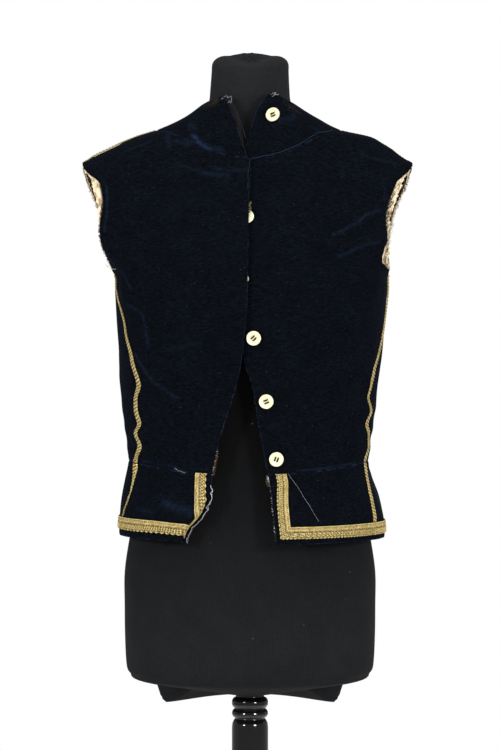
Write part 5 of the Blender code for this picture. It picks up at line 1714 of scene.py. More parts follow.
@dataclass
class Linings:
    """The cotton linings that show at the raw armholes and in the collar."""

    jacket: JacketSurface
    wardrobe: Wardrobe
    velvet: float = 0.0020
    collar: float = 0.0025
    front_depth: float = 0.0170
    back_depth: float = 0.0340
    rows: int = 190
    columns: int = 26
    crowding: float = 1.4
    loose_width: float = 0.004
    sharp: float = 70.0
    fray_noise: tuple[int, float] = (31, 0.0021)
    fray_least: float = -0.3
    ripple_noise: tuple[int, float] = (77, 0.0045)
    ripple: float = 0.0003
    loose_ripple: float = 0.0005
    curl_span: tuple[float, float] = (0.0008, 0.0040)
    collar_low: float = 1.404
    collar_rows: int = 17
    collar_cut: tuple[float, float] = (0.560, 0.050)
    collar_step: float = 0.0045
    flat_slack: float = 0.99
    gap: float = 0.0012
    collar_gap: float = 0.0007
    thickness: float = 0.0010
    fringe: float = 0.0030
    curl_out: float = 0.0015
    reaches: tuple[ArmholeRow, ...] = table(
        ArmholeRow, (1.219, 0.0008, 0.0008, 0.0014, 0.001), (1.228, 0.0008, 0.001, 0.0088, 0.0014),
        (1.24, 0.001, 0.001, 0.009, 0.002), (1.252, 0.0014, 0.001, 0.006, 0.0024),
        (1.262, 0.0024, 0.0012, 0.0038, 0.003), (1.286, 0.0044, 0.0016, 0.0078, 0.004),
        (1.3, 0.0078, 0.0024, 0.0124, 0.005), (1.312, 0.012, 0.003, 0.0158, 0.0052),
        (1.325, 0.0186, 0.003, 0.0196, 0.005), (1.336, 0.0214, 0.0024, 0.0216, 0.004),
        (1.347, 0.0166, 0.0014, 0.0166, 0.0024), (1.357, 0.0026, 0.0006, 0.0034, 0.001),
    )

    def armhole(self, side: Side, edge: ArmholeEdge) -> None:
        """Build one armhole lining with its frayed edge.

        Args:
            side: The side of the body.
            edge: The front or back edge.
        """
        jacket, surface = self.jacket, self.jacket.surface(side)
        heights = np.linspace(self.reaches[0].height, self.reaches[-1].height, self.rows)[:, None]
        if edge is ArmholeEdge.FRONT:
            first, inward, depth = jacket.front_outer(side, heights), -side.sign, self.front_depth
        else:
            first, inward, depth = jacket.behind_armhole(side, heights), side.sign, self.back_depth
        seed, cell = self.fray_noise
        frayed = np.maximum(self.fray_least, ClothNoise(seed + side.sign, cell).up(heights, inward))
        ragged = smooth_column(self.reaches, heights, f"{side.value}_{edge.value}") + self.fringe * frayed
        shares = np.linspace(0.0, 1.0, self.columns)[None, :] ** self.crowding
        reach = -ragged + (depth + ragged) * shares
        angles = jacket.turn_along(first, heights, inward * reach)
        grid = np.broadcast_to(heights, angles.shape)
        points, outward = surface(angles, grid), jacket.facing(surface, angles, grid)
        loose = np.exp(-(np.maximum(reach + ragged, 0.0) / self.loose_width) ** 2)
        noise = ClothNoise(*self.ripple_noise).at(reach + inward, grid)
        frill = (self.ripple + self.loose_ripple * loose) * noise
        inside = self.velvet + self.gap + frill
        if edge is ArmholeEdge.FRONT:
            inside = inside - self.curl_out * smooth_step(*self.curl_span, -reach)
        wall = GridWall(f"{side.value}_armhole_{edge.value}_cotton", points - outward * inside[..., None],
                        points - outward * (inside + self.thickness)[..., None])
        piece = finish_piece(wall.name, wall.build(), self.wardrobe.cotton, "cotton_lining",
                             (f"{side.value}_armhole_lining_{edge.value}",), self.sharp)

    def build_collar(self) -> None:
        """Build the collar's brown lining, which peeks out at its right end."""
        jacket, surface = self.jacket, self.jacket.right_surface
        rows = np.linspace(self.collar_low, jacket.collar_top, self.collar_rows)[:, None]
        length, width = self.collar_cut
        shares = dense_shares(length, self.collar_step)[None, :]
        angles = jacket.collar_angles(shares, rows + 0.0 * shares)
        start = jacket.turn_along(angles[:, :1], rows, smooth_column(jacket.peeks, rows, "value"))
        angles = np.concatenate((start, angles), axis=1)
        heights = np.broadcast_to(rows, angles.shape)
        points, outward = surface(angles, heights), jacket.facing(surface, angles, heights)
        depth = self.collar + self.collar_gap
        wall = GridWall("collar_brown_lining", points - outward * depth,
                        points - outward * (depth + self.thickness))
        piece = finish_piece(wall.name, wall.build(), self.wardrobe.brown, "brown_lining",
                             ("collar_lining",), self.sharp)

    def build(self) -> None:
        """Build every lining that shows."""
        for side in Side:
            for edge in ArmholeEdge:
                self.armhole(side, edge)
        self.build_collar()


class ButtonPlace(NamedTuple):
    """A button's node, its place on the front, its slant and tilt, and how far it slid under."""

    name: str
    across: float
    up: float
    slant: float
    tilt: float = 0.0
    slide: float = 0.0


@dataclass
class SewnButtons:
    """Six ivory buttons, each sewn on with two bars of thread."""

    jacket: JacketSurface
    wardrobe: Wardrobe
    radius: float = 0.0089
    thickness: float = 0.0030
    hole_radius: float = 0.0009
    bar_length: float = 0.0048
    bar_spacing: float = 0.0034
    tilt_lift: float = 0.0032
    steps: int = 40
    drill_sides: int = 12
    dish: float = 0.26
    grime: float = 0.55
    grime_span: tuple[float, float] = (0.30, 0.62)
    strands: tuple[float, ...] = (-0.0006, -0.0002, 0.0002, 0.0006)
    thread_radius: float = 0.00030
    thread_root: float = -0.0012
    thread_bend: float = 0.72
    thread_heights: tuple[float, float] = (0.00055, 0.00066)
    root_spread: tuple[float, float] = (0.5, 0.6)
    sharp: float = 35.0
    merge: float = 1e-6
    places: tuple[ButtonPlace, ...] = table(
        ButtonPlace, ("button_collar", 0.0258, 1.4088, -62.0, 31.0),
        ("button_chest", -0.0037, 1.283, -10.0, 0.0, 0.0004),
        ("button_bust", -0.0085, 1.2065, 0.0, 0.0, 0.0021), ("button_midriff", 0.0043, 1.135, -48.0),
        ("button_above_waist", 0.0195, 1.058, -66.0), ("button_waist", 0.0318, 0.987, -22.0),
    )
    profile: tuple[ProfilePoint, ...] = table(
        ProfilePoint, (0.0, -0.5), (0.55, -0.5), (0.8, -0.42), (0.93, -0.18), (0.995, 0.12), (1.0, 0.28),
        (0.975, 0.42), (0.93, 0.49), (0.87, 0.5), (0.8, 0.44), (0.74, 0.34), (0.66, 0.29), (0.5, 0.265),
        (0.25, 0.26), (0.0, 0.26),
    )

    def frame(self, place: ButtonPlace) -> Matrix:
        """Find where a button sits and which way it faces.

        Args:
            place: The button's row.

        Returns:
            The place and turn of its own axes.
        """
        jacket = self.jacket
        angle, height = jacket.front_place(place.across, place.up)
        surface = jacket.left_surface
        if height > jacket.neck_seam:
            surface, angle = jacket.right_surface, angle - 2 * math.pi
        outward = Vector(jacket.facing(surface, np.array(angle), np.array(height)))
        low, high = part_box(place.name)
        centre = (Vector(low) + Vector(high)) / 2
        across = Vector((0, 0, 1)).cross(outward).normalized()
        turn = Matrix((across, outward.cross(across), outward)).transposed().to_4x4()
        centre -= across * place.slide
        if place.tilt:
            centre += outward * self.tilt_lift
        tilt = Matrix.Rotation(math.radians(place.tilt), 4, "X")
        return (Matrix.Translation(centre) @ turn @ tilt
                @ Matrix.Rotation(math.radians(place.slant), 4, "Z"))

    def body(self, place: ButtonPlace, frame: Matrix) -> None:
        """Spin a button and drill its four holes.

        Args:
            place: The button's row.
            frame: The place and turn of its own axes.
        """
        blank, drills = bmesh.new(), bmesh.new()
        corners = [blank.verts.new((point.radius * self.radius, 0.0, point.height * self.thickness))
                   for point in self.profile]
        edges = [blank.edges.new(pair) for pair in zip(corners, corners[1:])]
        bmesh.ops.spin(blank, geom=corners + edges, cent=(0, 0, 0), axis=(0, 0, 1), angle=2 * math.pi,
                       steps=self.steps, use_merge=True)
        bmesh.ops.remove_doubles(blank, verts=blank.verts[:], dist=self.merge)
        bmesh.ops.recalc_face_normals(blank, faces=blank.faces[:])
        for x in (-0.5, 0.5):
            for y in (-0.5, 0.5):
                spot = Matrix.Translation((x * self.bar_spacing, y * self.bar_length, 0))
                bmesh.ops.create_cone(drills, cap_ends=True, cap_tris=False, segments=self.drill_sides,
                                      radius1=self.hole_radius, radius2=self.hole_radius,
                                      depth=self.thickness * 3, matrix=spot)
        items: list[bpy.types.Object] = []
        for name, shape in (("_blank", blank), ("_drill", drills)):
            mesh = bpy.data.meshes.new(place.name + name)
            shape.to_mesh(mesh)
            shape.free()
            items.append(bpy.data.objects.new(place.name + name, mesh))
            bpy.context.scene.collection.objects.link(items[-1])
        cut = items[0].modifiers.new("holes", "BOOLEAN")
        cut.operation, cut.object = "DIFFERENCE", items[1]
        shaped = bmesh.new()
        shaped.from_mesh(items[0].evaluated_get(bpy.context.evaluated_depsgraph_get()).to_mesh())
        for item in items:
            bpy.data.objects.remove(item, do_unlink=True)
        grime = shaped.verts.layers.float.new("grime")
        for corner in shaped.verts:
            middle = math.hypot(corner.co.x, corner.co.y) / self.radius
            corner[grime] = float(1.0 - smooth_step(*self.grime_span, middle)) * self.grime
        shaped.transform(frame)
        finish_piece(place.name + "_disc", shaped, self.wardrobe.ivory, "ivory_button", (place.name,),
                     self.sharp)

    def thread(self, place: ButtonPlace, frame: Matrix) -> None:
        """Sew two bars of thread through the holes.

        Args:
            place: The button's row.
            frame: The place and turn of its own axes.
        """
        half, face = self.bar_length / 2, self.thickness * self.dish
        (low, high), (root, rim) = self.thread_heights, self.root_spread
        lines: list[list[Vector]] = []
        for side in (-self.bar_spacing / 2, self.bar_spacing / 2):
            for strand in self.strands:
                rising = [(side + strand * root, -half, self.thread_root),
                          (side + strand * rim, -half, face),
                          (side + strand, -half * self.thread_bend, face + low)]
                falling = [(x, -y, z) for x, y, z in reversed(rising)]
                bar = [*rising, (side + strand, 0.0, face + high), *falling]
                lines.append([frame @ Vector(point) for point in bar])
        thread_piece(place.name + "_thread", lines, self.thread_radius, self.wardrobe, Yarn.NAVY)

    def build(self) -> None:
        """Build and sew on every button."""
        for place in self.places:
            frame = self.frame(place)
            self.body(place, frame)
            self.thread(place, frame)


def thread_piece(name: str, lines: Sequence[Any], radius: float, wardrobe: Wardrobe, yarn: Yarn,
                 merge: float = 1e-7) -> None:
    """Make round threads along lines, as one mesh.

    Args:
        name: The piece's name.
        lines: Points along each thread.
        radius: Radius of the threads.
        wardrobe: The finishes.
        yarn: Which thread it is.
        merge: Distance under which two points are one.
    """
    curve = bpy.data.curves.new(name, "CURVE")
    curve.dimensions = "3D"
    curve.bevel_depth = radius
    curve.bevel_resolution = 1
    curve.use_fill_caps = True
    for line in lines:
        spline = curve.splines.new("POLY")
        spline.points.add(len(line) - 1)
        for knot, point in zip(spline.points, line):
            knot.co = (*point, 1.0)
    temporary = bpy.data.objects.new(name + "_path", curve)
    bpy.context.scene.collection.objects.link(temporary)
    mesh = temporary.evaluated_get(bpy.context.evaluated_depsgraph_get()).to_mesh()
    shaped = bmesh.new()
    shaped.from_mesh(mesh)
    bpy.data.objects.remove(temporary, do_unlink=True)
    bmesh.ops.remove_doubles(shaped, verts=shaped.verts[:], dist=merge)
    finish_piece(name, shaped, wardrobe.yarns[yarn], yarn.slot, (), 180.0)


@dataclass
class LooseThreads:
    """Frayed cut edges, worn stitching and single loose threads, with pale blue threads that lay a painted
    sheen highlight along seams and edges.
    """

    jacket: JacketSurface
    wardrobe: Wardrobe
    seed: int = 401
    knots: int = 6
    fine: float = 0.00024
    rooted: float = -0.45
    shortest: float = 0.35
    shortening: float = 1.5
    slant: float = 0.55
    curl: float = 0.6
    lift_span: tuple[float, float] = (-0.3, 0.5)
    steps_between: int = 10
    torn_span: tuple[float, float] = (0.8890, 0.9620)
    torn_knots: int = 90
    torn_radius: float = 0.00046
    torn_jitter: float = 0.0004
    torn_wander: float = 0.0009
    torn_lift: float = 0.0003
    runs: tuple[tuple[Yarn, tuple[FrayRun, ...]], ...] = (
        (Yarn.STRAW, table(
            FrayRun,
            (RIGHT, HOLE_FRONT, 1.22, 1.348, 120, 0.003, 0.002),
            (RIGHT, HOLE_BACK, 1.275, 1.354, 190, 0.0056, 0.003),
            (LEFT, HOLE_FRONT, 1.22, 1.352, 190, 0.006, 0.002),
            (LEFT, HOLE_BACK, 1.255, 1.354, 230, 0.006, 0.003),
        )),
        (Yarn.ROSE, table(
            FrayRun,
            (RIGHT, HOLE_FRONT, 1.26, 1.33, 90, 0.0026, 0.0022),
            (RIGHT, HOLE_BACK, 1.26, 1.34, 60, 0.003, 0.0026),
            (LEFT, HOLE_FRONT, 1.226, 1.26, 40, 0.004, 0.0026),
        )),
        (Yarn.BROWN, table(
            FrayRun,
            (LEFT, HOLE_BACK, 1.27, 1.34, 90, 0.006, 0.003),
            (LEFT, HOLE_FRONT, 1.28, 1.335, 90, 0.009, 0.0012),
            (RIGHT, FRONT_EDGE, 1.34, 1.359, 34, 0.0034, 0.0012),
            (RIGHT, FRONT_EDGE, 0.984, 1.006, 60, 0.0034, 0.001),
            (LEFT, FRONT_EDGE, 0.964, 0.98, 40, 0.0048, 0.0012),
            (LEFT, FRONT_EDGE, 0.889, 0.964, 30, 0.0018, 0.001),
        )),
        (Yarn.PALE, table(
            FrayRun,
            (RIGHT, FRONT_EDGE, 0.889, 0.956, 70, 0.0015, 0.001),
            (LEFT, HOLE_FRONT, 1.26, 1.29, 14, 0.003, 0.0014),
            (LEFT, FRONT_EDGE, 0.889, 0.97, 14, 0.0012, 0.0006),
            (LEFT, FRONT_EDGE, 0.97, 0.98, 10, 0.0024, 0.0008),
            (RIGHT, FRONT_EDGE, 0.975, 1.01, 8, 0.0014, 0.0006),
        )),
        # Painted sheen highlight along the front edges, as short pale blue fibres.
        (Yarn.BLUE, table(
            FrayRun,
            (LEFT, FRONT_EDGE, 0.99, 1.07, 24, 0.001, 0.0004),
            (RIGHT, FRONT_EDGE, 1.01, 1.08, 24, 0.001, 0.0004),
        )),
        (Yarn.NAVY, table(
            FrayRun,
            (RIGHT, HOLE_FRONT, 1.218, 1.352, 230, 0.0028, 0.0008),
            (LEFT, HOLE_FRONT, 1.218, 1.352, 150, 0.002, 0.0008),
            (RIGHT, FRONT_EDGE, 0.889, 0.97, 40, 0.0012, 0.001),
        )),
        (Yarn.TARNISHED, table(
            FrayRun,
            (RIGHT, FRONT_EDGE, 1.347, 1.359, 14, 0.003, 0.001),
        )),
    )
    lines: tuple[tuple[Yarn, tuple[LooseLine, ...]], ...] = (
        # Painted sheen highlight along the collar seam and front edges, as pale blue lines.
        (Yarn.BLUE, table(
            LooseLine,
            (RIGHT, 0.0003, 0.0002, 0.0002, ((-359.0, 1.4006), (-348.0, 1.4006), (-340.0, 1.4006),
             (-330.0, 1.4008), (-321.0, 1.4014), (-310.0, 1.402), (-303.0, 1.4004), (-296.0, 1.4003))),
            (RIGHT, 0.00018, 0.0002, 0.0003, ((0.0, 1.399), (-0.4, 1.39), (-0.7, 1.384), (-0.8, 1.37))),
            (RIGHT, 0.0002, 0.0002, 0.0002, ((-20.8, 1.4291), (-16.4, 1.4265), (-12.4, 1.4231),
             (-8.9, 1.4194), (-5.8, 1.4152), (-3.1, 1.4104))),
        )),
        (Yarn.PALE, table(
            LooseLine,
            (LEFT, 0.00011, 0.0004, 0.0002, ((15.0, 0.9826), (19.4, 0.9614), (27.5, 0.9133))),
            (RIGHT, 0.00014, 0.0004, 0.0004, ((-33.8, 0.9852), (-31.0, 0.982), (-27.9, 0.98))),
            (RIGHT, 0.00013, 0.0006, 0.0005, ((-336.1, 1.4301), (-331.0, 1.4314), (-327.0, 1.4318),
             (-330.7, 1.4302), (-323.5, 1.431), (-328.4, 1.4316), (-334.4, 1.4288))),
            (RIGHT, 0.00012, 0.0004, 0.0004, ((-32.5, 1.4299), (-29.5, 1.4314), (-24.5, 1.4299),
             (-21.3, 1.4307), (-18.9, 1.4281), (-23.2, 1.4273))),
        )),
        (Yarn.STRAW, table(
            LooseLine,
            (RIGHT, 0.00022, 0.0008, 0.0008, ((-85.0, 1.217), (-79.0, 1.2235), (-74.0, 1.225),
             (-69.0, 1.2246))),
            (RIGHT, 0.0002, 0.001, 0.001, ((-84.0, 1.229), (-79.0, 1.2262), (-75.0, 1.224))),
        )),
    )

    def path(self, side: Side, edge: CutEdge, heights: Array) -> tuple[Array, int]:
        """Angles along a cut edge, and the sign of the turn away from the cloth.

        Args:
            side: The side of the body.
            edge: Which cut edge.
            heights: Ring heights.

        Returns:
            The angles and the sign.
        """
        jacket = self.jacket
        if edge is CutEdge.FRONT:
            return jacket.front_edge(side, heights), -side.sign
        if edge is CutEdge.ARMHOLE_FRONT:
            return jacket.front_outer(side, heights), side.sign
        return jacket.behind_armhole(side, heights), -side.sign

    def fray(self, run: FrayRun, draw: np.random.Generator) -> Array:
        """Draw the threads of one run.

        Args:
            run: Where they hang and how long they are.
            draw: Source of the random values.

        Returns:
            Points along each thread.
        """
        count = (run.count, 1)
        steps = np.linspace(self.rooted, 1.0, self.knots)[None, :]
        heights = draw.uniform(run.low, run.high, count)
        reach = run.length * draw.uniform(self.shortest, 1.0, count) ** self.shortening * steps
        drift = draw.normal(0.0, self.slant, count) + draw.normal(0.0, self.curl, count) * steps
        grid = heights + reach * drift
        edge, away = self.path(run.side, run.edge, grid)
        angles = self.jacket.turn_along(edge, grid, away * reach)
        surface = self.jacket.surface(run.side)
        lift = draw.uniform(*self.lift_span, count) * run.length * steps ** 2 - run.depth
        return surface(angles, grid) + self.jacket.facing(surface, angles, grid) * lift[..., None]

    def line(self, row: LooseLine, draw: np.random.Generator) -> Array:
        """Draw one single thread with a slight wander.

        Args:
            row: Where it lies.
            draw: Source of the random values.

        Returns:
            Points along it.
        """
        count = len(row.places)
        steps = np.linspace(0.0, count - 1, self.steps_between * count)
        around, up = (np.interp(steps, np.arange(count), column) for column in zip(*row.places))
        bends = len(steps) // 3
        wander = np.interp(steps, np.linspace(0.0, steps[-1], bends), draw.normal(0.0, row.wander, bends))
        surface = self.jacket.surface(row.side)
        angles = self.jacket.turn_along(np.radians(around), up, wander)
        outward = self.jacket.facing(surface, angles, up + wander)
        return surface(angles, up + wander) + outward * (row.lift + row.radius)

    def worn_edge(self, draw: np.random.Generator) -> Array:
        """Draw the torn white yarn along the curled corner's edge.

        Args:
            draw: Source of the random values.

        Returns:
            Points along it.
        """
        jacket, count = self.jacket, self.torn_knots
        heights = np.linspace(*self.torn_span, count)
        heights = heights + draw.normal(0.0, self.torn_jitter, heights.shape)
        step = np.interp(np.arange(count), np.arange(0, count, 3),
                         draw.normal(0.0, self.torn_wander, count // 3))
        angles = jacket.turn_along(jacket.front_edge(Side.RIGHT, heights), heights, step)
        outward = jacket.facing(jacket.right_surface, angles, heights)
        return jacket.right_surface(angles, heights) + outward * self.torn_lift

    def build(self) -> None:
        """Build the threads, one piece for each run and line."""
        draw = np.random.default_rng(self.seed)
        for yarn, runs in self.runs:
            for run in runs:
                name = f"{run.side.value}_{run.edge.value}_{yarn.value[0]}_{round(run.high * 1000)}"
                thread_piece(name, self.fray(run, draw), self.fine, self.wardrobe, yarn)
        for yarn, rows in self.lines:
            for number, row in enumerate(rows):
                thread_piece(f"loose_{yarn.value[0]}_{number}", [self.line(row, draw)], row.radius,
                             self.wardrobe, yarn)
        thread_piece("right_corner_torn_yarn", [self.worn_edge(draw)], self.torn_radius, self.wardrobe,
                     Yarn.PALE)


@dataclass
class DressForm:
    """The limbless form that carries the jacket, covered in black jersey."""

    jacket: JacketSurface
    wardrobe: Wardrobe
    segments: int = 144
    rows_between: int = 6
    seat_drop: float = 0.046
    seat_middle_rise: float = 0.18
    rest_drop: float = 0.0026
    shoulder_inset: float = 0.0016
    clearance: float = 0.006
    puckers: int = 13
    pucker_rise: float = 0.0011
    pucker_sway: float = 1.3
    pucker_outside: tuple[float, float] = (0.034, 0.018)
    pucker_inside: tuple[float, float] = (0.002, 0.012)
    cap_height: float = 1.47
    seat_span: tuple[float, float] = (126.0, 137.0)
    seat_dropped: tuple[float, float] = (0.716, 0.800)
    underside_dropped: tuple[float, ...] = (0.0, 0.25, 0.90)
    shoulder_span: tuple[float, float] = (1.3764, 1.392)
    map_radius: float = 0.15
    sharp: float = 75.0
    # Painted shadow cast by the jacket: low values under and just below it, higher values on the bare parts,
    # partly fading.
    shadow_and_fading_rows: tuple[LevelRow, ...] = table(
        LevelRow, (0.6, 0.64), (0.76, 0.76), (0.86, 0.5), (0.94, 0.34), (1.0, 0.16), (1.08, 0.05),
        (1.36, 0.05), (1.435, 0.95), (1.52, 1.0),
    )
    underside: tuple[Ring, ...] = table(
        Ring, (0.6863, 0.6863, 0.6863, 0.03, 0.03, 0.03, 0.03, 2.0),
        (0.696, 0.695, 0.7, 0.09, 0.09, 0.065, 0.07, 2.2),
        (0.706, 0.703, 0.706, 0.143, 0.143, 0.093, 0.108, 2.45),
    )
    body: tuple[Ring, ...] = table(
        Ring, (0.714, 0.709, 0.711, 0.152, 0.152, 0.1, 0.116, 2.5),
        (0.724, 0.719, 0.722, 0.1565, 0.1565, 0.104, 0.12, 2.45),
        (0.76, 0.757, 0.76, 0.1585, 0.1585, 0.106, 0.124, 2.4),
        (0.8, 0.798, 0.8, 0.159, 0.159, 0.107, 0.1255, 2.35),
        (0.84, 0.839, 0.84, 0.159, 0.159, 0.106, 0.124, 2.3),
        (0.88, 0.879, 0.88, 0.1535, 0.1535, 0.102, 0.118, 2.3),
        (0.93, 0.929, 0.93, 0.144, 0.144, 0.094, 0.104, 2.3),
        (0.982, 0.974, 0.983, 0.133, 0.133, 0.087, 0.085, 2.3),
        (1.04, 1.03, 1.041, 0.137, 0.137, 0.092, 0.086, 2.25),
        (1.1, 1.091, 1.101, 0.145, 0.145, 0.104, 0.092, 2.2),
        (1.16, 1.15, 1.162, 0.15, 0.15, 0.114, 0.1, 2.2),
        (1.217, 1.204, 1.219, 0.155, 0.155, 0.1175, 0.107, 2.2),
        (1.26, 1.236, 1.262, 0.166, 0.166, 0.112, 0.109, 2.1),
        (1.3, 1.261, 1.299, 0.176, 0.176, 0.105, 0.108, 2.1),
        (1.33, 1.279, 1.32, 0.1815, 0.1815, 0.098, 0.104, 2.05),
        (1.35, 1.291, 1.331, 0.1835, 0.1835, 0.0935, 0.1, 2.0),
        (1.363, 1.304, 1.342, 0.1825, 0.1825, 0.0905, 0.098, 2.0),
    )
    neck: tuple[Ring, ...] = table(
        Ring, (1.395, 1.352, 1.399, 0.118, 0.115, 0.0755, 0.073, 2.0, 3.0),
        (1.4005, 1.37, 1.406, 0.096, 0.095, 0.0705, 0.066, 2.0, 2.8),
        (1.4105, 1.39, 1.417, 0.0735, 0.0735, 0.065, 0.06, 2.0, 2.4),
        (1.4225, 1.41, 1.429, 0.0595, 0.0585, 0.06, 0.055, 2.0),
        (1.436, 1.429, 1.44, 0.0523, 0.0518, 0.0565, 0.052, 2.0),
        (1.455, 1.45, 1.457, 0.0503, 0.05, 0.055, 0.05, 2.0),
        (1.474, 1.465, 1.481, 0.0488, 0.0492, 0.054, 0.049, 2.0),
        (1.485, 1.473, 1.494, 0.0478, 0.0488, 0.051, 0.047, 2.1),
        (1.4915, 1.477, 1.5005, 0.0424, 0.044, 0.044, 0.042, 2.2),
        (1.495, 1.481, 1.503, 0.033, 0.0345, 0.033, 0.033, 2.1),
        (1.494, 1.485, 1.5005, 0.019, 0.019, 0.019, 0.02, 2.0),
        (1.4905, 1.487, 1.493, 0.008, 0.008, 0.008, 0.008, 2.0),
        (1.488, 1.4865, 1.489, 0.0025, 0.0025, 0.0025, 0.0025, 2.0),
    )

    def rings(self) -> list[Ring]:
        """List the form's rings, with shoulders just inside the jacket's.

        Returns:
            The rings from its underside to the top of its neck.
        """
        drop, inset, clear = self.rest_drop, self.shoulder_inset, self.clearance
        low, high = self.shoulder_span
        shoulders = [
            Ring(ring.height - drop, ring.front_height - drop, ring.back_height - drop, ring.right - inset,
                 ring.left - inset, ring.front - clear, ring.back - clear, ring.fullness, ring.dip)
            for ring in self.jacket.rings if low <= ring.height <= high]
        return [*self.underside, *self.body, *shoulders, *self.neck]

    def dropped(self) -> Array:
        """Find how much of the seat's drop each ring takes.

        Returns:
            A share for each ring.
        """
        upper = self.rings()[len(self.underside_dropped):]
        shares = [1.0 - float(smooth_step(*self.seat_dropped, ring.height)) for ring in upper]
        return np.array([*self.underside_dropped, *shares])

    def places(self) -> Array:
        """Smooth the form's rings into a surface.

        Returns:
            Its points, ring by ring.
        """
        table = np.array(self.rings(), dtype=float)
        table = np.column_stack((table, self.dropped()))
        count = len(table)
        steps = np.linspace(0.0, count - 1, (count - 1) * self.rows_between + 1)
        low = np.minimum(steps.astype(int), count - 2)
        t = (steps - low)[:, None]
        before, after = np.maximum(low - 1, 0), np.minimum(low + 2, count - 1)
        near, far = table[low], table[low + 1]
        slope_near, slope_far = (far - table[before]) / 2, (table[after] - near) / 2
        smooth = (near * (1 + 2 * t) * (1 - t) ** 2 + slope_near * t * (1 - t) ** 2
                  + far * t ** 2 * (3 - 2 * t) + slope_far * t ** 2 * (t - 1))
        ring = {name: smooth[:, index:index + 1] for index, name in enumerate(Ring._fields)}
        angles = np.linspace(-math.pi, math.pi, self.segments, endpoint=False)[None, :]
        points = on_rings(ring, angles)
        around = np.abs(angles)
        begin, full = np.radians(self.seat_span)
        seat = smooth_step(begin, full, around) * smooth[:, -1:]
        seat = seat * (1 - self.seat_middle_rise * smooth_step(full, math.pi, around))
        half_width = np.where(np.sin(angles) > 0, ring["left"], ring["right"])
        cap = (smooth_step(*self.pucker_outside, half_width) * smooth_step(*self.pucker_inside, half_width)
               * (ring["height"] > self.cap_height))
        waves = np.sin(self.puckers * angles + self.pucker_sway * np.sin(2 * angles))
        points[..., 2] = points[..., 2] - self.seat_drop * seat + self.pucker_rise * cap * waves
        return points

    def build(self) -> None:
        """Build the form and its jersey cover as one closed body."""
        points = self.places()
        rows = points.shape[0]
        mesh_data = bmesh.new()
        bmesh.ops.create_cone(mesh_data, cap_ends=True, cap_tris=False, segments=self.segments,
                              radius1=1.0, radius2=1.0, depth=1.0)
        upright = [edge for edge in mesh_data.edges
                   if abs(edge.verts[0].co.z - edge.verts[1].co.z) > 0.5]
        bmesh.ops.subdivide_edges(mesh_data, edges=upright, cuts=rows - 2, use_grid_fill=True)
        cloth = mesh_data.loops.layers.uv.new("cloth")
        shadow_and_fading = mesh_data.verts.layers.float.new("shadow_and_fading")
        known, shares = zip(*self.shadow_and_fading_rows)
        turn = 2 * math.pi / self.segments
        spots: dict[int, tuple[int, int]] = {}
        mesh_data.verts.index_update()
        for corner in mesh_data.verts:
            row = round((corner.co.z + 0.5) * (rows - 1))
            angle = math.atan2(corner.co.x, -corner.co.y)
            column = round((angle + math.pi) / turn) % self.segments
            spots[corner.index] = (row, column)
            corner.co = points[row, column]
            corner[shadow_and_fading] = float(np.interp(corner.co.z, known, shares))
        for face in mesh_data.faces:
            columns = [spots[loop.vert.index][1] for loop in face.loops]
            wraps = max(columns) - min(columns) > self.segments / 2
            for loop, column in zip(face.loops, columns):
                unrolled = column + self.segments if wraps and column == 0 else column
                loop[cloth].uv = (unrolled * turn * self.map_radius, loop.vert.co.z)
        finish_piece("form_jersey", mesh_data, self.wardrobe.jersey, "black_jersey", ("form_torso",),
                     self.sharp)


@dataclass
class TurnedStand:
    """The turned post and round foot, in gloss black lacquer."""

    wardrobe: Wardrobe
    segments: int = 72
    rounding: float = 0.0012
    merge: float = 1e-6
    sharp: float = 40.0
    post: tuple[ProfilePoint, ...] = table(
        ProfilePoint, (0.0178, 0.686), (0.0178, 0.6815), (0.0212, 0.6802), (0.0229, 0.6768),
        (0.0229, 0.6716), (0.0212, 0.6682), (0.0188, 0.667), (0.0214, 0.6654), (0.0229, 0.6624),
        (0.0229, 0.6592), (0.0214, 0.6562), (0.0186, 0.655), (0.0206, 0.6522), (0.0224, 0.6485),
        (0.023, 0.643), (0.023, 0.14), (0.02, 0.133), (0.023, 0.129), (0.0252, 0.122), (0.023, 0.115),
        (0.0195, 0.111), (0.0205, 0.09), (0.027, 0.062), (0.03, 0.0463),
    )
    base: tuple[ProfilePoint, ...] = table(
        ProfilePoint, (0.036, 0.046), (0.04, 0.043), (0.042, 0.037), (0.056, 0.0325), (0.15, 0.027),
        (0.179, 0.024), (0.1875, 0.019), (0.19, 0.012), (0.188, 0.004), (0.184, 0.0),
    )

    def turned(self, name: str, profile: Sequence[ProfilePoint], node: str) -> None:
        """Spin a profile, closed at both ends, and round its corners.

        Args:
            name: The piece's name.
            profile: Its profile from the top down.
            node: The node that it stands for.
        """
        mesh_data = bmesh.new()
        path = [ProfilePoint(0.0, profile[0].height), *profile, ProfilePoint(0.0, profile[-1].height)]
        corners = [mesh_data.verts.new((point.radius, 0.0, point.height)) for point in path]
        for pair in zip(corners, corners[1:]):
            mesh_data.edges.new(pair)
        bmesh.ops.bevel(mesh_data, geom=corners[2:-2], offset=self.rounding, offset_type="OFFSET",
                        segments=3, profile=0.5, affect="VERTICES", clamp_overlap=True)
        bmesh.ops.spin(mesh_data, geom=mesh_data.verts[:] + mesh_data.edges[:], cent=(0, 0, 0),
                       axis=(0, 0, 1), angle=2 * math.pi, steps=self.segments, use_merge=True)
        bmesh.ops.remove_doubles(mesh_data, verts=mesh_data.verts[:], dist=self.merge)
        finish_piece(name, mesh_data, self.wardrobe.lacquer, "black_lacquer", (node,), self.sharp)

    def build(self) -> None:
        """Build post and foot."""
        self.turned("stand_turned_post", self.post, "stand_post")
        self.turned("stand_round_foot", self.base, "stand_base")


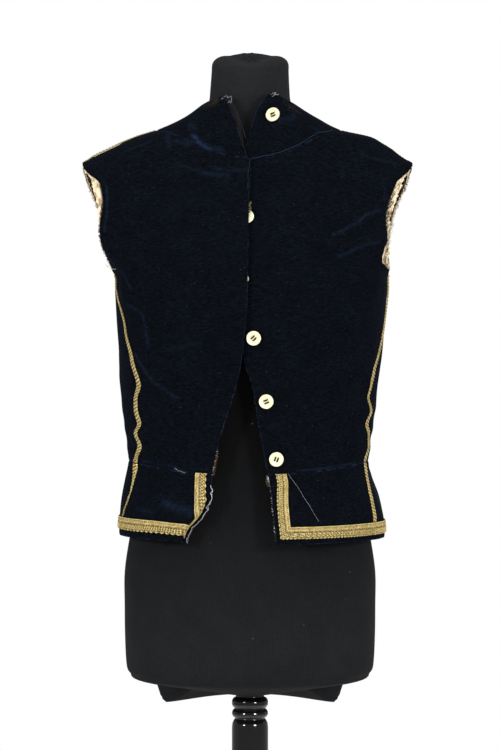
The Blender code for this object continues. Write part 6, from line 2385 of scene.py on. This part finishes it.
@dataclass
class PhotoStudio:
    """The pale floor, soft lights and camera of the photograph."""

    camera_height: float = 1.09
    distance: float = 3.2
    frame_height: float = 0.9525
    floor_radius: float = 3.2
    floor_sides: int = 96
    paper: Colour = (0.90, 0.90, 0.90)
    bright_paper: Colour = (0.93, 0.93, 0.93)
    air_light: float = 0.32
    sensor: float = 36.0
    lamps: tuple[Lamp, ...] = table(
        Lamp, ("left_window", (-2.1, -2.5, 1.75), 1.05, 0.5, 38.0),
        ("right_window", (1.8, -2.6, 1.65), 1.05, 0.6, 40.0),
        ("top_softbox", (0.0, -0.9, 3.4), 1.05, 1.8, 34.0),
        ("left_fill", (-2.4, -0.7, 1.35), 1.28, 1.2, 20.0, False),
        ("right_fill", (2.4, -0.7, 1.35), 1.28, 1.2, 20.0, False),
        ("left_glint", (-2.1, -2.6, 1.72), 1.05, 0.5, 50.0, True, False),
        ("right_glint", (1.8, -2.7, 1.66), 1.05, 0.8, 110.0, True, False),
        ("back_fill", (0.5, 3.0, 1.9), 1.05, 1.6, 45.0, False),
    )

    def area(self, lamp: Lamp) -> None:
        """Hang one light, which the camera doesn't see.

        Args:
            lamp: Its row.
        """
        light = bpy.data.lights.new(lamp.name, "AREA")
        light.shape, light.size, light.energy = "SQUARE", lamp.size, lamp.power
        hung = bpy.data.objects.new(lamp.name, light)
        hung.location = lamp.place
        aim = Vector((0.0, 0.0, lamp.aim_height)) - Vector(lamp.place)
        hung.rotation_euler = aim.to_track_quat("-Z", "Y").to_euler()
        hung.visible_glossy, hung.visible_diffuse, hung.visible_camera = lamp.mirrored, lamp.diffused, False
        bpy.context.scene.collection.objects.link(hung)

    def floor(self) -> None:
        """Lay a round pale floor under the stand."""
        mesh_data = bmesh.new()
        bmesh.ops.create_circle(mesh_data, cap_ends=True, segments=self.floor_sides,
                                radius=self.floor_radius)
        mesh = bpy.data.meshes.new("studio_floor")
        mesh_data.to_mesh(mesh)
        mesh_data.free()
        graph = MaterialGraph("studio_paper")
        paper = graph.blend(graph.noise(graph.place(), 3.0), self.paper, self.bright_paper)
        graph.settings(Base_Color=paper, Roughness=0.9)
        mesh.materials.append(graph.material)
        floor = bpy.data.objects.new("studio_floor", mesh)
        bpy.context.scene.collection.objects.link(floor)

    def air(self) -> None:
        """Fill the studio with dim air light in front of a white backdrop."""
        world = bpy.data.worlds.new("studio_air")
        world.use_nodes = True
        tree = world.node_tree
        background = tree.nodes["Background"]
        background.inputs["Color"].default_value = (1.0, 1.0, 1.0, 1.0)
        seen = tree.nodes.new("ShaderNodeLightPath").outputs["Is Camera Ray"]
        level = tree.nodes.new("ShaderNodeMapRange")
        level.inputs["To Min"].default_value = self.air_light
        tree.links.new(seen, level.inputs["Value"])
        tree.links.new(level.outputs["Result"], background.inputs["Strength"])
        bpy.context.scene.world = world

    def camera(self) -> None:
        """Set the camera level in front, framed as the photograph."""
        lens = bpy.data.cameras.new("photo_camera")
        lens.sensor_width = self.sensor
        lens.lens = self.sensor * self.distance / self.frame_height
        lens.dof.use_dof = False
        body = bpy.data.objects.new("photo_camera", lens)
        body.location = (0.0, -self.distance, self.camera_height)
        body.rotation_euler = (math.radians(90), 0.0, 0.0)
        bpy.context.scene.collection.objects.link(body)
        bpy.context.scene.camera = body

    def build(self) -> None:
        """Set up the studio."""
        self.floor()
        self.camera()
        for lamp in self.lamps:
            self.area(lamp)
        self.air()
        bpy.context.scene.view_settings.view_transform = "Standard"


def main() -> None:
    """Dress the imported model, corner by corner."""
    logging.basicConfig(level=logging.INFO, format="%(name)s: %(message)s")
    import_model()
    PhotoStudio().build()
    jacket, wardrobe = JacketSurface(), Wardrobe()
    VelvetPanels(jacket, wardrobe).build()
    GoldBraid(jacket, wardrobe).build()
    Linings(jacket, wardrobe).build()
    SewnButtons(jacket, wardrobe).build()
    LooseThreads(jacket, wardrobe).build()
    DressForm(jacket, wardrobe).build()
    TurnedStand(wardrobe).build()


if __name__ == "__main__":
    main()
